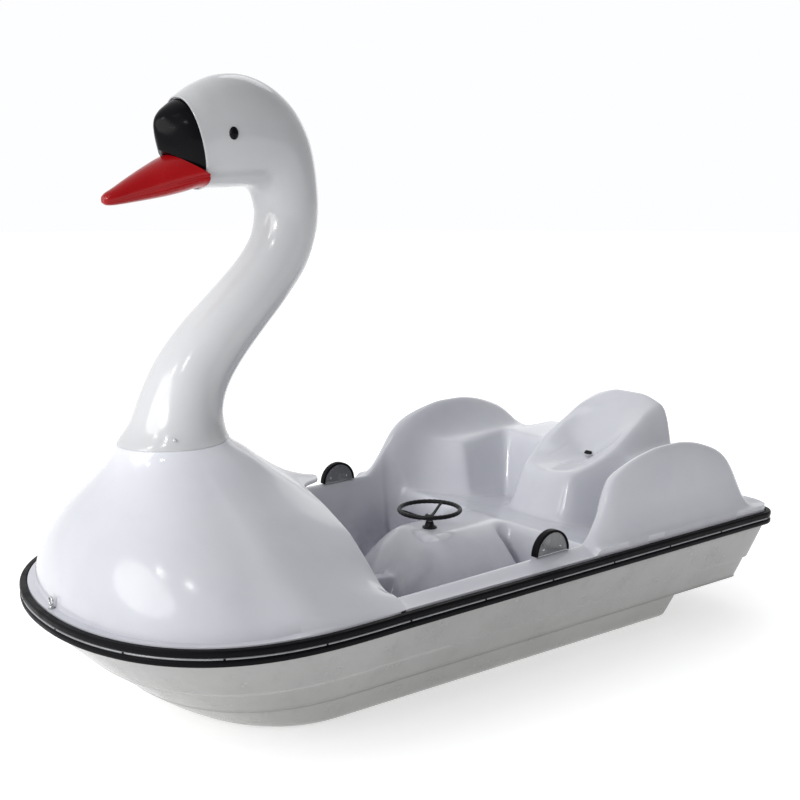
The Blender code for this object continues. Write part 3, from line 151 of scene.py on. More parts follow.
def gelcoat(name, base, tint, rough, low_dirt_and_shade=None, orange=1.0, coat=0.5, streak=0.0, spec=0.5):
    """Sprayed gelcoat over glass fibre: faint waviness, orange peel, buffing haze, and colour darkened in low places,
    partly dust and partly painted shade.
    """
    m = bpy.data.materials.new(name)
    nt, n, l, b = nodes_of(m)
    co = n.new("ShaderNodeTexCoord").outputs["Object"]
    cloud = noise(nt, co, 2.3, 4.0, 0.55)
    patch = noise(nt, co, 9.0, 5.0, 0.6)
    fine = noise(nt, co, 160.0, 2.0, 0.5)
    wave = noise(nt, co, 7.0, 1.0, 0.4)
    colour = mix(nt, ramp(nt, cloud, 0.30, 0.72, 0.0, 1.0), base, tint)
    haze = ramp(nt, patch, 0.52, 0.80, 0.0, 0.22)
    colour = mix(nt, haze, colour, tuple(c * 0.90 for c in tint))
    if streak:
        run = noise(nt, co, 1.0, 4.0, 0.6, stretch=(18.0, 18.0, 1.4))
        colour = mix(nt, ramp(nt, run, 0.50, 0.85, 0.0, streak), colour, tuple(c * 0.72 for c in tint))
    # darkens the colour towards the bottom in object Z, broken up by patches: painted shade in the cockpit well, with
    # some dust
    if low_dirt_and_shade:
        sep = n.new("ShaderNodeSeparateXYZ")
        l.new(co, sep.inputs[0])
        low = ramp(nt, sep.outputs["Z"], low_dirt_and_shade[0], low_dirt_and_shade[1], 1.0, 0.0)
        mul = n.new("ShaderNodeMath")
        mul.operation = "MULTIPLY"
        l.new(low, mul.inputs[0])
        l.new(ramp(nt, patch, 0.25, 0.75, 0.35, 1.0), mul.inputs[1])
        sc = n.new("ShaderNodeMath")
        sc.operation = "MULTIPLY"
        l.new(mul.outputs[0], sc.inputs[0])
        sc.inputs[1].default_value = low_dirt_and_shade[2]
        colour = mix(nt, sc.outputs[0], colour, low_dirt_and_shade[3])
    l.new(colour, b.inputs["Base Color"])
    l.new(ramp(nt, patch, 0.35, 0.80, rough, rough + 0.16), b.inputs["Roughness"])
    b.inputs["Coat Weight"].default_value = coat
    b.inputs["Coat Roughness"].default_value = 0.12
    b.inputs["Specular IOR Level"].default_value = spec
    b.inputs["IOR"].default_value = 1.50
    nm = bump(nt, None, wave, 0.25, 0.004)
    nm = bump(nt, nm, fine, 0.12 * orange, 0.0006)
    l.new(nm, b.inputs["Normal"])
    return m


def metal(name, base, rough, brushed=(1.0, 1.0, 1.0), stain=(0.25, 0.2, 0.16), amount=0.25):
    m = bpy.data.materials.new(name)
    nt, n, l, b = nodes_of(m)
    co = n.new("ShaderNodeTexCoord").outputs["Object"]
    grain = noise(nt, co, 60.0, 4.0, 0.6, stretch=brushed)
    spots = noise(nt, co, 22.0, 6.0, 0.65)
    colour = mix(nt, ramp(nt, grain, 0.3, 0.7, 0.0, 0.5), base, tuple(c * 0.78 for c in base))
    colour = mix(nt, ramp(nt, spots, 0.56, 0.74, 0.0, amount), colour, stain)
    l.new(colour, b.inputs["Base Color"])
    b.inputs["Metallic"].default_value = 1.0
    l.new(ramp(nt, spots, 0.35, 0.75, rough, rough + 0.22), b.inputs["Roughness"])
    l.new(bump(nt, bump(nt, None, grain, 0.25, 0.0003), spots, 0.15, 0.0006), b.inputs["Normal"])
    return m


def plastic(name, base, worn, rough, grain_scale=350.0, grain=0.35, coat=0.0, dust=0.25, metallic=0.0, spec=0.5):
    m = bpy.data.materials.new(name)
    nt, n, l, b = nodes_of(m)
    co = n.new("ShaderNodeTexCoord").outputs["Object"]
    g = noise(nt, co, grain_scale, 2.0, 0.5)
    p = noise(nt, co, 14.0, 5.0, 0.62)
    colour = mix(nt, ramp(nt, p, 0.45, 0.75, 0.0, dust), base, worn)
    colour = mix(nt, ramp(nt, g, 0.55, 0.75, 0.0, 0.20), colour, worn)
    l.new(colour, b.inputs["Base Color"])
    l.new(ramp(nt, p, 0.3, 0.75, rough, min(rough + 0.2, 1.0)), b.inputs["Roughness"])
    b.inputs["Coat Weight"].default_value = coat
    b.inputs["Coat Roughness"].default_value = 0.06
    b.inputs["Specular IOR Level"].default_value = spec
    b.inputs["Metallic"].default_value = metallic
    l.new(bump(nt, bump(nt, None, p, 0.12, 0.002), g, grain, 0.0004), b.inputs["Normal"])
    return m


# the lavender darkening low in the cockpit well (z 0.12 to 0.43) is painted shade of the foot-well, with some dust
WHITE = gelcoat("white_gelcoat", (0.595, 0.602, 0.645), (0.545, 0.552, 0.602), 0.12,
                low_dirt_and_shade=(0.12, 0.43, 0.80, (0.24, 0.235, 0.31)), coat=0.24, spec=0.38)
# neck and head: a darker copy of the white gelcoat, with the shade on the neck painted in
NECK_SHADED_WHITE = gelcoat("neck_gelcoat_painted_shade", (0.470, 0.477, 0.490), (0.440, 0.446, 0.460), 0.12, coat=0.35)
# hull: a darker copy of the white gelcoat, with the shade of the hull sides painted in; the colour also gets darker
# towards the bottom of the hull
HULL_SHADED_WHITE = gelcoat("hull_gelcoat_painted_shade", (0.325, 0.328, 0.320), (0.280, 0.283, 0.275), 0.17,
                low_dirt_and_shade=(0.02, 0.24, 0.45, (0.30, 0.297, 0.278)), coat=0.12, streak=0.30, orange=0.4, spec=0.35)
RED = gelcoat("red_gelcoat", (0.32, 0.003, 0.005), (0.25, 0.002, 0.004), 0.20, coat=0.08, spec=0.20)
BLACK = gelcoat("black_gelcoat", (0.003, 0.003, 0.004), (0.005, 0.005, 0.006), 0.12, coat=0.0, orange=2.0, spec=0.08)
RUBBER = plastic("rail_rubber", (0.003, 0.003, 0.004), (0.012, 0.012, 0.014), 0.36, 420.0, 0.30, dust=0.12, spec=0.07)
SILVER = plastic("rail_silver", (0.27, 0.275, 0.285), (0.15, 0.15, 0.155), 0.26, 300.0, 0.2, dust=0.5, metallic=0.6)
PLASTIC = plastic("black_plastic", (0.006, 0.006, 0.007), (0.024, 0.024, 0.024), 0.36, dust=0.18, spec=0.22)
TREAD = plastic("pedal_plastic", (0.024, 0.024, 0.025), (0.11, 0.105, 0.10), 0.50, 260.0, 0.55, dust=0.5)
GREY = plastic("grey_plastic", (0.27, 0.28, 0.29), (0.18, 0.18, 0.185), 0.38)
PLATE = plastic("disc_plate", (0.145, 0.150, 0.155), (0.30, 0.30, 0.31), 0.16, 180.0, 0.25, coat=0.5, dust=0.6)
STEEL = metal("stainless", (0.60, 0.61, 0.62), 0.22, brushed=(1.0, 14.0, 1.0))
GEAR = metal("gear_steel", (0.42, 0.42, 0.43), 0.32, stain=(0.10, 0.09, 0.07), amount=0.5)
BRONZE = metal("bronze", (0.52, 0.35, 0.15), 0.30, stain=(0.18, 0.24, 0.17), amount=0.55)
FOAM = plastic("buoyancy_foam", (0.72, 0.66, 0.46), (0.55, 0.48, 0.30), 0.85, 120.0, 0.8)

LOOK = {"crank_bearing_port": GREY, "crank_bearing_starboard": GREY, "column_flange": PLASTIC, "crown_gear": GEAR,
        "pinion_gear": GEAR, "drain_plug": PLASTIC, "gearbox_case": GREY, "gearbox_cover": GREY, "propeller_nut": BRONZE,
        "propeller_shaft": STEEL, "rudder_blade": STEEL, "rudder_stock": STEEL, "rudder_tube": BRONZE,
        "steering_arm": STEEL, "steering_rod": STEEL, "steering_shaft": STEEL, "stern_tube": BRONZE, "tiller_arm": STEEL,
        "neck_screw_port": STEEL, "neck_screw_starboard": STEEL, "rail_insert": SILVER, "rub_rail": RUBBER,
        "foam_fore_port": FOAM, "foam_fore_starboard": FOAM, "foam_aft_port": FOAM, "foam_aft_starboard": FOAM,
        "handwheel": PLASTIC, "deck_latch": PLASTIC, "bow_eye_bolt": STEEL, "crankshaft": STEEL, "propeller": BRONZE,
        "disc_port": PLATE, "disc_starboard": PLATE, "disc_port_edging": RUBBER, "disc_starboard_edging": RUBBER,
        "eye_port": BLACK, "eye_starboard": BLACK, "pedal_port_inner": TREAD, "pedal_port_outer": TREAD,
        "pedal_starboard_inner": TREAD, "pedal_starboard_outer": TREAD, "hull_shell": HULL_SHADED_WHITE, "upper_deck": WHITE,
        "cockpit_tub": WHITE, "front_cowl": WHITE, "neck_and_head": NECK_SHADED_WHITE, "face_mask": BLACK, "beak": RED}
for name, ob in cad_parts.items():
    ob.data.materials.clear()
    ob.data.materials.append(LOOK.get(name, PLASTIC))


# ---------------------------------------------------------------- mesh helpers
def finish_mesh(name, bm, mat, body="hull", angle=40, weld=1e-6):
    if weld:
        bmesh.ops.remove_doubles(bm, verts=bm.verts, dist=weld)
    bmesh.ops.recalc_face_normals(bm, faces=bm.faces)
    me = bpy.data.meshes.new(name)
    bm.to_mesh(me)
    bm.free()
    ob = bpy.data.objects.new(name, me)
    bpy.context.scene.collection.objects.link(ob)
    me.materials.append(mat)
    me.shade_smooth()
    me.set_sharp_from_angle(angle=math.radians(angle))
    if body:
        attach(ob, body)
    return ob


def grid_bm(P, wrap=False, caps=(False, False), bm=None):
    """Quads through an array of rows of points; wrap joins the last column to the first."""
    P = np.asarray(P, float)
    bm = bm or bmesh.new()
    r, c = P.shape[:2]
    vs = [[bm.verts.new(P[i, j]) for j in range(c)] for i in range(r)]
    for i in range(r - 1):
        for j in range(c if wrap else c - 1):
            k = (j + 1) % c
            q = (vs[i][j], vs[i + 1][j], vs[i + 1][k], vs[i][k])
            bm.faces.new(q)
    if caps[0]:
        bm.faces.new([vs[0][j] for j in range(c)])
    if caps[1]:
        bm.faces.new([vs[-1][j] for j in range(c)][::-1])
    return bm


def up(bm):
    bm.normal_update()
    if sum(f.normal.z * f.calc_area() for f in bm.faces) < 0:
        bmesh.ops.reverse_faces(bm, faces=bm.faces)


def basis(axis):
    a = Vector(axis).normalized()
    u = Vector((0, 0, 1)) if abs(a.z) < 0.9 else Vector((1, 0, 0))
    x = u.cross(a).normalized()
    return np.array(x), np.array(a.cross(x).normalized()), np.array(a)


def lathe(bm, base, axis, profile, seg=40, closed=False):
    """Turned form; profile is (distance along the axis, radius) pairs."""
    x, y, a = basis(axis)
    base = np.array(base, float)
    t = np.linspace(0, 2 * np.pi, seg, endpoint=False)
    P = [base + a * s + r * (np.outer(np.cos(t), x) + np.outer(np.sin(t), y)) for s, r in profile]
    if closed:
        P.append(P[0])
        return grid_bm(P, True, (False, False), bm)
    return grid_bm(P, True, (True, True), bm)


def tube(bm, path, radius, seg=16, closed=False):
    """Round bar along a polyline; radius may vary along it."""
    P = np.asarray(path, float)
    n = len(P)
    R = np.broadcast_to(np.asarray(radius, float), (n,))
    T = np.roll(P, -1, 0) - np.roll(P, 1, 0)
    if not closed:
        T[0], T[-1] = P[1] - P[0], P[-1] - P[-2]
    T /= np.linalg.norm(T, axis=1)[:, None]
    x, y, _ = basis(T[0])
    rows = []
    for i in range(n):
        x = x - T[i] * (x @ T[i])
        x /= np.linalg.norm(x)
        y = np.cross(T[i], x)
        t = np.linspace(0, 2 * np.pi, seg, endpoint=False)
        rows.append(P[i] + R[i] * (np.outer(np.cos(t), x) + np.outer(np.sin(t), y)))
    if closed:
        rows.append(rows[0])
        return grid_bm(rows, True, (False, False), bm)
    return grid_bm(rows, True, (True, True), bm)


def fillet(pts, r, n=7):
    """Round the corners of a polyline."""
    pts = [np.array(p, float) for p in pts]
    out = [pts[0]]
    for a, b, c in zip(pts[:-2], pts[1:-1], pts[2:]):
        u, v = a - b, c - b
        k = min(r, np.linalg.norm(u) * 0.48, np.linalg.norm(v) * 0.48)
        p, q = b + u / np.linalg.norm(u) * k, b + v / np.linalg.norm(v) * k
        for t in np.linspace(0, 1, n):
            out.append(p * (1 - t) ** 2 + 2 * b * t * (1 - t) + q * t * t)
    out.append(pts[-1])
    return np.array(out)


def soft_box(bm, lo, hi, r, n=5):
    """Block with rounded edges and corners, as rings stacked along Z."""
    lo, hi = np.array(lo, float), np.array(hi, float)
    c, h = (lo + hi) / 2, (hi - lo) / 2
    rows = []
    for e in (-1, 1):
        ang = np.linspace(0, np.pi / 2, n) if e < 0 else np.linspace(np.pi / 2, 0, n)
        for a in ang:
            k = r * (1 - math.sin(a))
            z = c[2] + e * (h[2] - r + r * math.cos(a))
            ring = []
            for q in range(4):
                sx, sy = ((1, 1), (-1, 1), (-1, -1), (1, -1))[q]
                rr = max(r - k, 1e-4)
                for t in np.linspace(0, np.pi / 2, n):
                    w = t + q * np.pi / 2
                    ring.append((c[0] + sx * (h[0] - r) + rr * math.cos(w), c[1] + sy * (h[1] - r) + rr * math.sin(w), z))
            rows.append(ring)
    return grid_bm(rows, True, (True, True), bm)


# ---------------------------------------------------------------- plan outline of the gunwale
def beam(x):
    return BEAM_BOW + BEAM_GROW * np.clip(BOW_X0 - np.asarray(x, float), 0, None)


def outline(tip, x0, half, p, q, stern, corner, n_bow=130, n_side=60, n_corner=10, n_stern=24):
    """Closed plan outline, counter-clockwise from the bow tip along port, stern and starboard."""
    port = []
    for i in range(n_bow):
        t = math.pi / 2 * (1 - i / n_bow)
        s = math.sin(t) ** (2 / p)
        x = x0 + (tip - x0) * s
        port.append((x, float(half(x)) * math.cos(t) ** (2 / q)))
    for i in range(n_side + 1):
        x = x0 + (stern + corner - x0) * i / n_side
        port.append((x, float(half(x))))
    yc = float(half(stern + corner)) - corner
    for i in range(1, n_corner + 1):
        t = math.pi / 2 * i / n_corner
        port.append((stern + corner - corner * math.sin(t), yc + corner * math.cos(t)))
    for i in range(1, n_stern + 1):
        port.append((stern, yc * (1 - i / n_stern)))
    return np.array(port + [(x, -y) for x, y in port[1:-1]][::-1], float)


def inset(p, d):
    t = np.roll(p, -1, 0) - np.roll(p, 1, 0)
    t /= np.linalg.norm(t, axis=1)[:, None]
    q = p + np.stack([-t[:, 1], t[:, 0]], 1) * d
    q[np.abs(p[:, 1]) < 1e-9, 1] = 0.0
    return q


RAIL = outline(HALF_LEN, BOW_X0, beam, 3.10, 2.10, -HALF_LEN, STERN_R)
half_of = RAIL[:len(RAIL) // 2]


def rail_half(x, d):
    """Half width of the gunwale, inset by d, at x."""
    q = inset(RAIL, d)[:130 + 60]
    return np.interp(-np.asarray(x, float), -q[:, 0], q[:, 1])


# ---------------------------------------------------------------- hull
def hull_ring(z):
    f = min(max(z / 0.385, 0.0), 1.0)
    tip = 0.952 + (1.420 - 0.952) * f ** 0.72
    x0 = 0.60 + (BOW_X0 - 0.60) * f
    k = max(0.0, 1 - z / 0.030)
    low = 0.020 * (1 - math.sqrt(max(0.0, 1 - k * k))) + 0.008 * (1 - float(smooth(0.2195, 0.2255, z)))
    low += 0.0035 * float(smooth(0.118, 0.124, z)) * (1 - float(smooth(0.216, 0.222, z)))

    def half(x):
        bottom = 0.474 - 0.058 * (x - 0.60)
        top = float(beam(x)) - 0.030
        return bottom + (top - bottom) * f ** 0.93 - low

    o = outline(tip - low, x0, half, 2.4 + 0.7 * f, 2.3 - 0.2 * f, TRANSOM_X, 0.05, 64, 44, 8, 14)
    return np.column_stack([o, np.full(len(o), z)])


levels = [0.0, 0.0012, 0.004, 0.008, 0.014, 0.022, 0.030, 0.05, 0.075, 0.10, 0.1165, 0.119, 0.1215, 0.1245, 0.14, 0.165,
          0.19, 0.214, 0.217, 0.2195, 0.2215, 0.2235, 0.2255, 0.24, 0.265, 0.29, 0.315, 0.34, 0.365, 0.385, 0.400]
rows = [hull_ring(z) for z in levels]
top = outline(HALF_LEN, BOW_X0, beam, 3.10, 2.10, -HALF_LEN, STERN_R, 64, 44, 8, 14)
rows.append(np.column_stack([inset(top, 0.0250), np.full(len(top), 0.4075)]))
rows.append(np.column_stack([inset(top, 0.0175), np.full(len(top), 0.4130)]))
hull = finish_mesh("hull_skin", grid_bm(rows, True, (True, True)), HULL_SHADED_WHITE, None, 32)


def step_tool():
    """Space under the raised stern: a flat step with a rounded root and a half-round tunnel."""
    pts = [(-1.2, -0.2), (1.2, -0.2), (1.2, STEP_Z)]
    pts += [(TUNNEL_R + 0.012, STEP_Z), (TUNNEL_R + 0.004, STEP_Z + 0.003)]
    pts += [(TUNNEL_R * math.cos(t), STEP_Z + TUNNEL_R * math.sin(t)) for t in np.linspace(0.07, math.pi - 0.07, 29)]
    pts += [(-TUNNEL_R - 0.004, STEP_Z + 0.003), (-TUNNEL_R - 0.012, STEP_Z), (-1.2, STEP_Z)]
    P = [[(x, y, z) for y, z in pts] for x in (STEP_X, -1.6)]
    return finish_mesh("step_tool", grid_bm(P, True, (True, True)), HULL_SHADED_WHITE, None, 30, 0)


tool = step_tool()
m = hull.modifiers.new("step", "BOOLEAN")
m.operation, m.solver, m.object = "DIFFERENCE", "EXACT", tool
dg = bpy.context.evaluated_depsgraph_get()
cut = bpy.data.meshes.new_from_object(hull.evaluated_get(dg))
hull.modifiers.clear()
bpy.data.objects.remove(tool, do_unlink=True)
bm = bmesh.new()
bm.from_mesh(cut)
bmesh.ops.delete(bm, geom=[f for f in bm.faces if f.calc_center_median().z > 0.4129], context="FACES")
bm.to_mesh(hull.data)
bm.free()
hull.data.shade_smooth()
hull.data.set_sharp_from_angle(angle=math.radians(28))
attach(hull, "hull")
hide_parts("hull_shell")


# ---------------------------------------------------------------- deck, seats, wings and tail
def well_edge(x):
    xs = [-1.5, -1.07, -0.76, -0.50, -0.42, 0.52, 0.80, 0.93, 1.5]
    ys = [0.50, 0.50, 0.45, 0.635, 0.655, 0.655, 0.42, 0.25, 0.25]
    return np.interp(x, xs, ys)


def floor_edge(x):
    return np.interp(x, [-0.5, 0.2, 0.5, 0.72, 0.88], [0.545, 0.525, 0.490, 0.36, 0.20])


def ridge_z(x):
    xs = [-1.37, -1.33, -1.30, -1.26, -1.20, -1.10, -1.00, -0.90, -0.80, -0.70, -0.60, -0.55, -0.50, -0.46, -0.41, -0.37]
    zs = [0.455, 0.475, 0.54, 0.640, 0.705, 0.751, 0.779, 0.790, 0.788, 0.771, 0.741, 0.717, 0.675, 0.61, 0.53, 0.478]
    return spline(xs, zs, x)


def side_deck(x, y):
    d = np.clip(beam(x) - 0.027 - np.abs(y), 0, None)
    return DECK_EDGE_Z + (SILL_Z - DECK_EDGE_Z) * smooth(-0.02, 0.085, d)


def after_block(x, y):
    a = np.abs(y)
    topz = 0.600 + 0.045 * smooth(-0.95, -1.35, x)
    crest = ridge_z(x)
    inner = 0.625 + (crest - 0.625) * smooth(0.525, 0.660, a)
    outer = crest + (0.47 - crest) * smooth(0.668, 0.738 + 0.02 * smooth(-0.6, -1.2, x), a)
    wing = np.where(a < 0.664, np.where(crest > 0.625, inner, crest), outer)
    z = np.where(a > 0.50, wing, topz + (0.625 - topz) * smooth(0.42, 0.54, a))
    mid = spline([-1.43, -1.40, -1.33, -1.25, -1.18, -1.145, -1.10, -0.98, -0.87],
                 [0.894, 0.886, 0.822, 0.728, 0.630, 0.585, 0.576, 0.562, 0.552], x)
    side = spline([-1.43, -1.39, -1.30, -1.22, -1.10, -1.02, -0.95, -0.87],
                  [0.832, 0.828, 0.794, 0.748, 0.680, 0.632, 0.600, 0.570], x)
    a0 = 0.07 * smooth(-1.26, -1.36, x)
    spine = mid + (side - mid) * np.clip((a - a0) / (0.185 - a0), 0, 1) ** 1.45
    z = z + (spine - z) * (1 - smooth(0.195, 0.275, a))
    return z + (0.470 - z) * smooth(-1.386, -1.414, x)


def inner_surface(x, y):
    a = np.abs(y)
    fe, we = floor_edge(x), well_edge(x)
    t = np.clip((a - fe) / np.maximum(we - fe, 0.02), 0, 1)
    z = FLOOR_Z + 0.385 * t ** 1.5
    z = z + (0.42 - z) * smooth(0.86, 0.925, x)
    cover = (CRANK[2] + (x - CRANK[0]) * SHAFT_SLOPE + 0.036) * smooth(0.335, 0.300, x)
    z = np.maximum(z, FLOOR_Z + (cover - FLOOR_Z) * (1 - smooth(0.036, 0.068, a)) * (x < 0.335))
    console = FLOOR_Z + (0.414 - FLOOR_Z) * smooth(0.200, -0.135, x) * (1 - smooth(0.080, 0.520, a))
    z = np.maximum(z, console)
    pan = 0.408 - 0.17 * np.clip(-0.50 - x, 0, None)
    bench = FLOOR_Z + (pan - FLOOR_Z) * smooth(-0.440, -0.492, x)
    return np.where(x < -0.438, np.maximum(bench, np.where(a < 0.15, console * (x > -0.50), 0)), z)


def height(x, y):
    a = np.abs(y)
    out = np.where(x < -0.36, np.maximum(side_deck(x, y), after_block(x, y)), side_deck(x, y))
    inn = inner_surface(x, y)
    side = well_edge(x) - a
    wall = 0.014 + 0.050 * smooth(-0.36, -0.50, x)
    s = smooth(0.0, 1.0, side / wall)
    back = -1.070 + 0.225 * (1 - smooth(0.150, 0.275, a)) - 0.8 * np.clip(a, 0, 0.2) ** 2
    t = np.minimum(s, smooth(0.0, 0.085, x - back))
    return out + (inn - out) * t


DX = 0.004
gx = np.arange(-1.50, 0.98, DX)
gy = np.arange(-0.86, 0.8601, DX)
X, Y = np.meshgrid(gx, gy, indexing="ij")
H = height(X, Y)


def blur(A, s):
    k = np.arange(-int(3 * s) - 1, int(3 * s) + 2)
    w = np.exp(-0.5 * (k / s) ** 2)
    w /= w.sum()
    n = len(k) // 2
    for ax in (0, 1):
        pad = [(n, n) if i == ax else (0, 0) for i in (0, 1)]
        B = np.pad(A, pad, mode="edge")
        A = sum(w[i] * np.take(B, np.arange(i, i + A.shape[ax]), axis=ax) for i in range(len(k)))
    return A


soft, softer = blur(H, 0.009 / DX), blur(H, 0.017 / DX)
raised = smooth(-0.34, -0.50, X)
wide = raised * (1 - 0.35 * smooth(0.55, 0.62, np.abs(Y)))
H = soft * (1 - wide) + softer * wide
# the hatch line on the centre housing
hatch = np.maximum(np.abs(X + 1.045) / 0.072, np.abs(Y) / 0.098)
H = H - 0.0022 * np.exp(-((hatch - 1.0) / 0.030) ** 2)
GXS, GYS = gx[0], gy[0]


def sample(x, y):
    u, v = (np.asarray(x) - GXS) / DX, (np.asarray(y) - GYS) / DX
    i, j = np.clip(u.astype(int), 0, H.shape[0] - 2), np.clip(v.astype(int), 0, H.shape[1] - 2)
    a, b = u - i, v - j
    return (H[i, j] * (1 - a) * (1 - b) + H[i + 1, j] * a * (1 - b) + H[i, j + 1] * (1 - a) * b + H[i + 1, j + 1] * a * b)


CORNER_X = -HALF_LEN + STERN_R


def round_corner(x, y):
    yc = float(beam(CORNER_X)) - STERN_R
    u, v = np.maximum(CORNER_X - x, 0), np.maximum(np.abs(y) - yc, 0)
    s, mn = np.maximum(u, v), np.minimum(u, v)
    t = np.where(s > 0, mn / np.maximum(s, 1e-9), 0)
    c, q = s * np.cos(math.pi / 4 * t), s * np.sin(math.pi / 4 * t)
    both = (u > 0) & (v > 0)
    un, vn = np.where(u >= v, c, q), np.where(u >= v, q, c)
    return np.where(both, CORNER_X - un, x), np.where(both, np.copysign(yc + vn, y), y)


xs = np.concatenate([[-1.4331, -1.4260], np.linspace(-1.4223, -1.28, 34), np.arange(-1.274, 0.511, 0.0062), [0.5165]])
T = np.linspace(0, 1, 125)
rows = []
for x in xs:
    b = float(beam(max(x, CORNER_X)))
    yy = np.concatenate([T * (b - 0.0270), [b - 0.0242, b - 0.0134]])
    yy = np.concatenate([-yy[::-1], yy[1:]])
    xx = np.full(len(yy), x)
    px, py = round_corner(xx, yy)
    z = sample(px, py)
    edge = (np.abs(yy) > b - 0.0250) | (x < -1.4222)
    z = np.where(edge, 0.4245, z)
    k = smooth(-1.25, -1.40, x) * smooth(0.50, 0.86, z) * (1 - smooth(0.24, 0.30, np.abs(py)))
    rows.append(np.stack([px - 0.052 * k, py, z], 1))
tuck = rows[-1].copy()
tuck[:, 0] = 0.5310
tuck[:, 2] -= 0.0011 + 0.0045 * smooth(0.60, 0.50, np.abs(tuck[:, 1]))
rows.append(tuck)
bm = grid_bm(np.array(rows))
rows = []
for x in np.arange(0.5175, 0.9301, 0.0075):
    w = float(rail_half(x, 0.075))
    yy = np.linspace(-w, w, 181)
    rows.append(np.stack([np.full(len(yy), x), yy, np.minimum(sample(np.full(len(yy), x), yy), 0.462)], 1))
grid_bm(np.array(rows), bm=bm)
up(bm)
me = bpy.data.meshes.new("deck_skin")
bm.to_mesh(me)
bm.free()
deck = bpy.data.objects.new("deck_skin", me)
bpy.context.scene.collection.objects.link(deck)
me.materials.append(WHITE)
me.shade_smooth()
me.set_sharp_from_angle(angle=math.radians(60))
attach(deck, "hull")
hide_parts("upper_deck", "cockpit_tub")


# ---------------------------------------------------------------- cowl, neck and head as one flowing form
def rim_z(y):
    return spline([0, 0.05, 0.10, 0.18, 0.25, 0.32, 0.39, 0.46, 0.505, 0.55, 0.595, 0.62],
                  [0.772, 0.757, 0.740, 0.714, 0.690, 0.660, 0.628, 0.578, 0.542, 0.505, 0.480, 0.472], np.abs(y))


def bez(a, b, c, d, t):
    return a * (1 - t) ** 3 + 3 * b * t * (1 - t) ** 2 + 3 * c * t * t * (1 - t) + d * t ** 3


EDGE = inset(RAIL, 0.027)[:150]
MID_Y = float(np.interp(-SEAM_X, -EDGE[:, 0], EDGE[:, 1]))


def breast(x):
    f = smooth(0.70, 1.30, x)
    return 0.09 * f + 0.16 * (1 - f), 0.77 * f + 0.70 * (1 - f), 0.95 * f + 0.66 * (1 - f), 0.48 * f + 0.52 * (1 - f)


TM = np.linspace(0, 1, 60)
R1, H1, R2, H2 = breast(SEAM_X)
MID = (SEAM_B + (MID_Y - SEAM_B) * bez(0, R1, R2, 1, TM), DECK_EDGE_Z + (SEAM_Z - DECK_EDGE_Z) * bez(1, H1, H2, 0, TM))


def cowl_top(x, y):
    half = np.interp(-x, -EDGE[:, 0], EDGE[:, 1])
    n = np.minimum(np.abs(y) / half, 1.0)
    ym = n * MID_Y
    mid = np.where(ym > SEAM_B, np.interp(ym, *MID), 0.936 + 0.03 * (1 - np.minimum(ym / SEAM_B, 1) ** 2))
    yr = n * (float(beam(COWL_X)) - 0.027)
    rear = np.where(yr < 0.62, rim_z(yr), side_deck(COWL_X, yr))
    u = np.clip((x - COWL_X) / (SEAM_X - COWL_X), 0.0, 1.0)
    return rear + (mid - rear) * u * (1.3 - 0.3 * u * u) - 0.34 * np.maximum(COWL_X - x, 0.0)


edge = [(x, y, DECK_EDGE_Z) for x, y in EDGE if x > COWL_X + 0.006]
n_bow = len(edge)
yb = float(beam(COWL_X)) - 0.027
for y in np.concatenate([np.linspace(yb, 0.58, 16), np.linspace(0.58, 0.0, 62)[1:]]):
    z = float(rim_z(y)) if y <= 0.60 else float(rim_z(y) + (side_deck(COWL_X, y) - rim_z(y)) * smooth(0.60, 0.625, y))
    k = 1 - float(smooth(0.0, 0.135, y))
    edge.append((COWL_X - 0.135 * k, y, z - 0.046 * k))
edge = np.array(edge)
NC = len(edge)
# a narrow ledge runs between the foot of the breast and the rub rail at the bow
foot = edge.copy()
kk = smooth(0.62, 1.05, edge[:n_bow, 0])[:, None]
foot[:n_bow, :2] += (inset(RAIL, 0.027 + 0.024)[:n_bow] - edge[:n_bow, :2]) * kk
foot[0, 1] = 0.0
foot[:n_bow, 2] += 0.0015 * kk[:, 0]
ang = np.arctan2(edge[:, 1] / SEAM_B, (edge[:, 0] - SEAM_X + 0.10 * smooth(1.20, 0.75, edge[:, 0])) / SEAM_A)
ang[0], ang[-1] = 0.0, math.pi
# even the columns out round the ring
arc = np.concatenate([[0], np.cumsum(np.abs(np.diff(ang)))])
ang = 0.72 * ang + 0.28 * np.linspace(0, math.pi, NC)
sx = SEAM_X + np.where(np.cos(ang) > 0, SEAM_A, SEAM_AFT) * np.cos(ang)
sy = SEAM_B * np.sin(ang)
NR = 64
cowl = []
for k in range(NR + 1):
    t = (k / NR) ** 1.05
    r1, h1, r2, h2 = breast(foot[:, 0])
    r, h = bez(0, r1, r2, 1, t), bez(1, h1, h2, 0, t)
    fx, fy, fz = sx + (foot[:, 0] - sx) * r, sy + (foot[:, 1] - sy) * r, foot[:, 2] + (SEAM_Z - foot[:, 2]) * h
    r = bez(0, 0.14, 0.62, 1, t)
    bx, by = sx + (foot[:, 0] - sx) * r, sy + (foot[:, 1] - sy) * r
    d = np.hypot(bx - sx, by - sy)
    root = 1 - smooth(0.0, 0.20, d)
    bz = cowl_top(bx, by) + (SEAM_Z - cowl_top(sx, sy)) * root
    w = smooth(SEAM_X + 0.10, SEAM_X - 0.10, foot[:, 0])
    px, py, pz = fx + (bx - fx) * w, fy + (by - fy) * w, fz + (bz - fz) * w
    if k == NR:
        px, py, pz = foot.T
    cowl.append(np.stack([px, py, pz], 1))
ledge = []
for k in (1, 2, 3):
    row = foot + (edge - foot) * k / 3
    row[n_bow:] = edge[n_bow:] + (cowl[-2][n_bow:] - edge[n_bow:]) * (0.75, 0.5, 0.25)[k - 1] * 0.0
    ledge.append(row)
cowl = np.array(cowl + ledge)
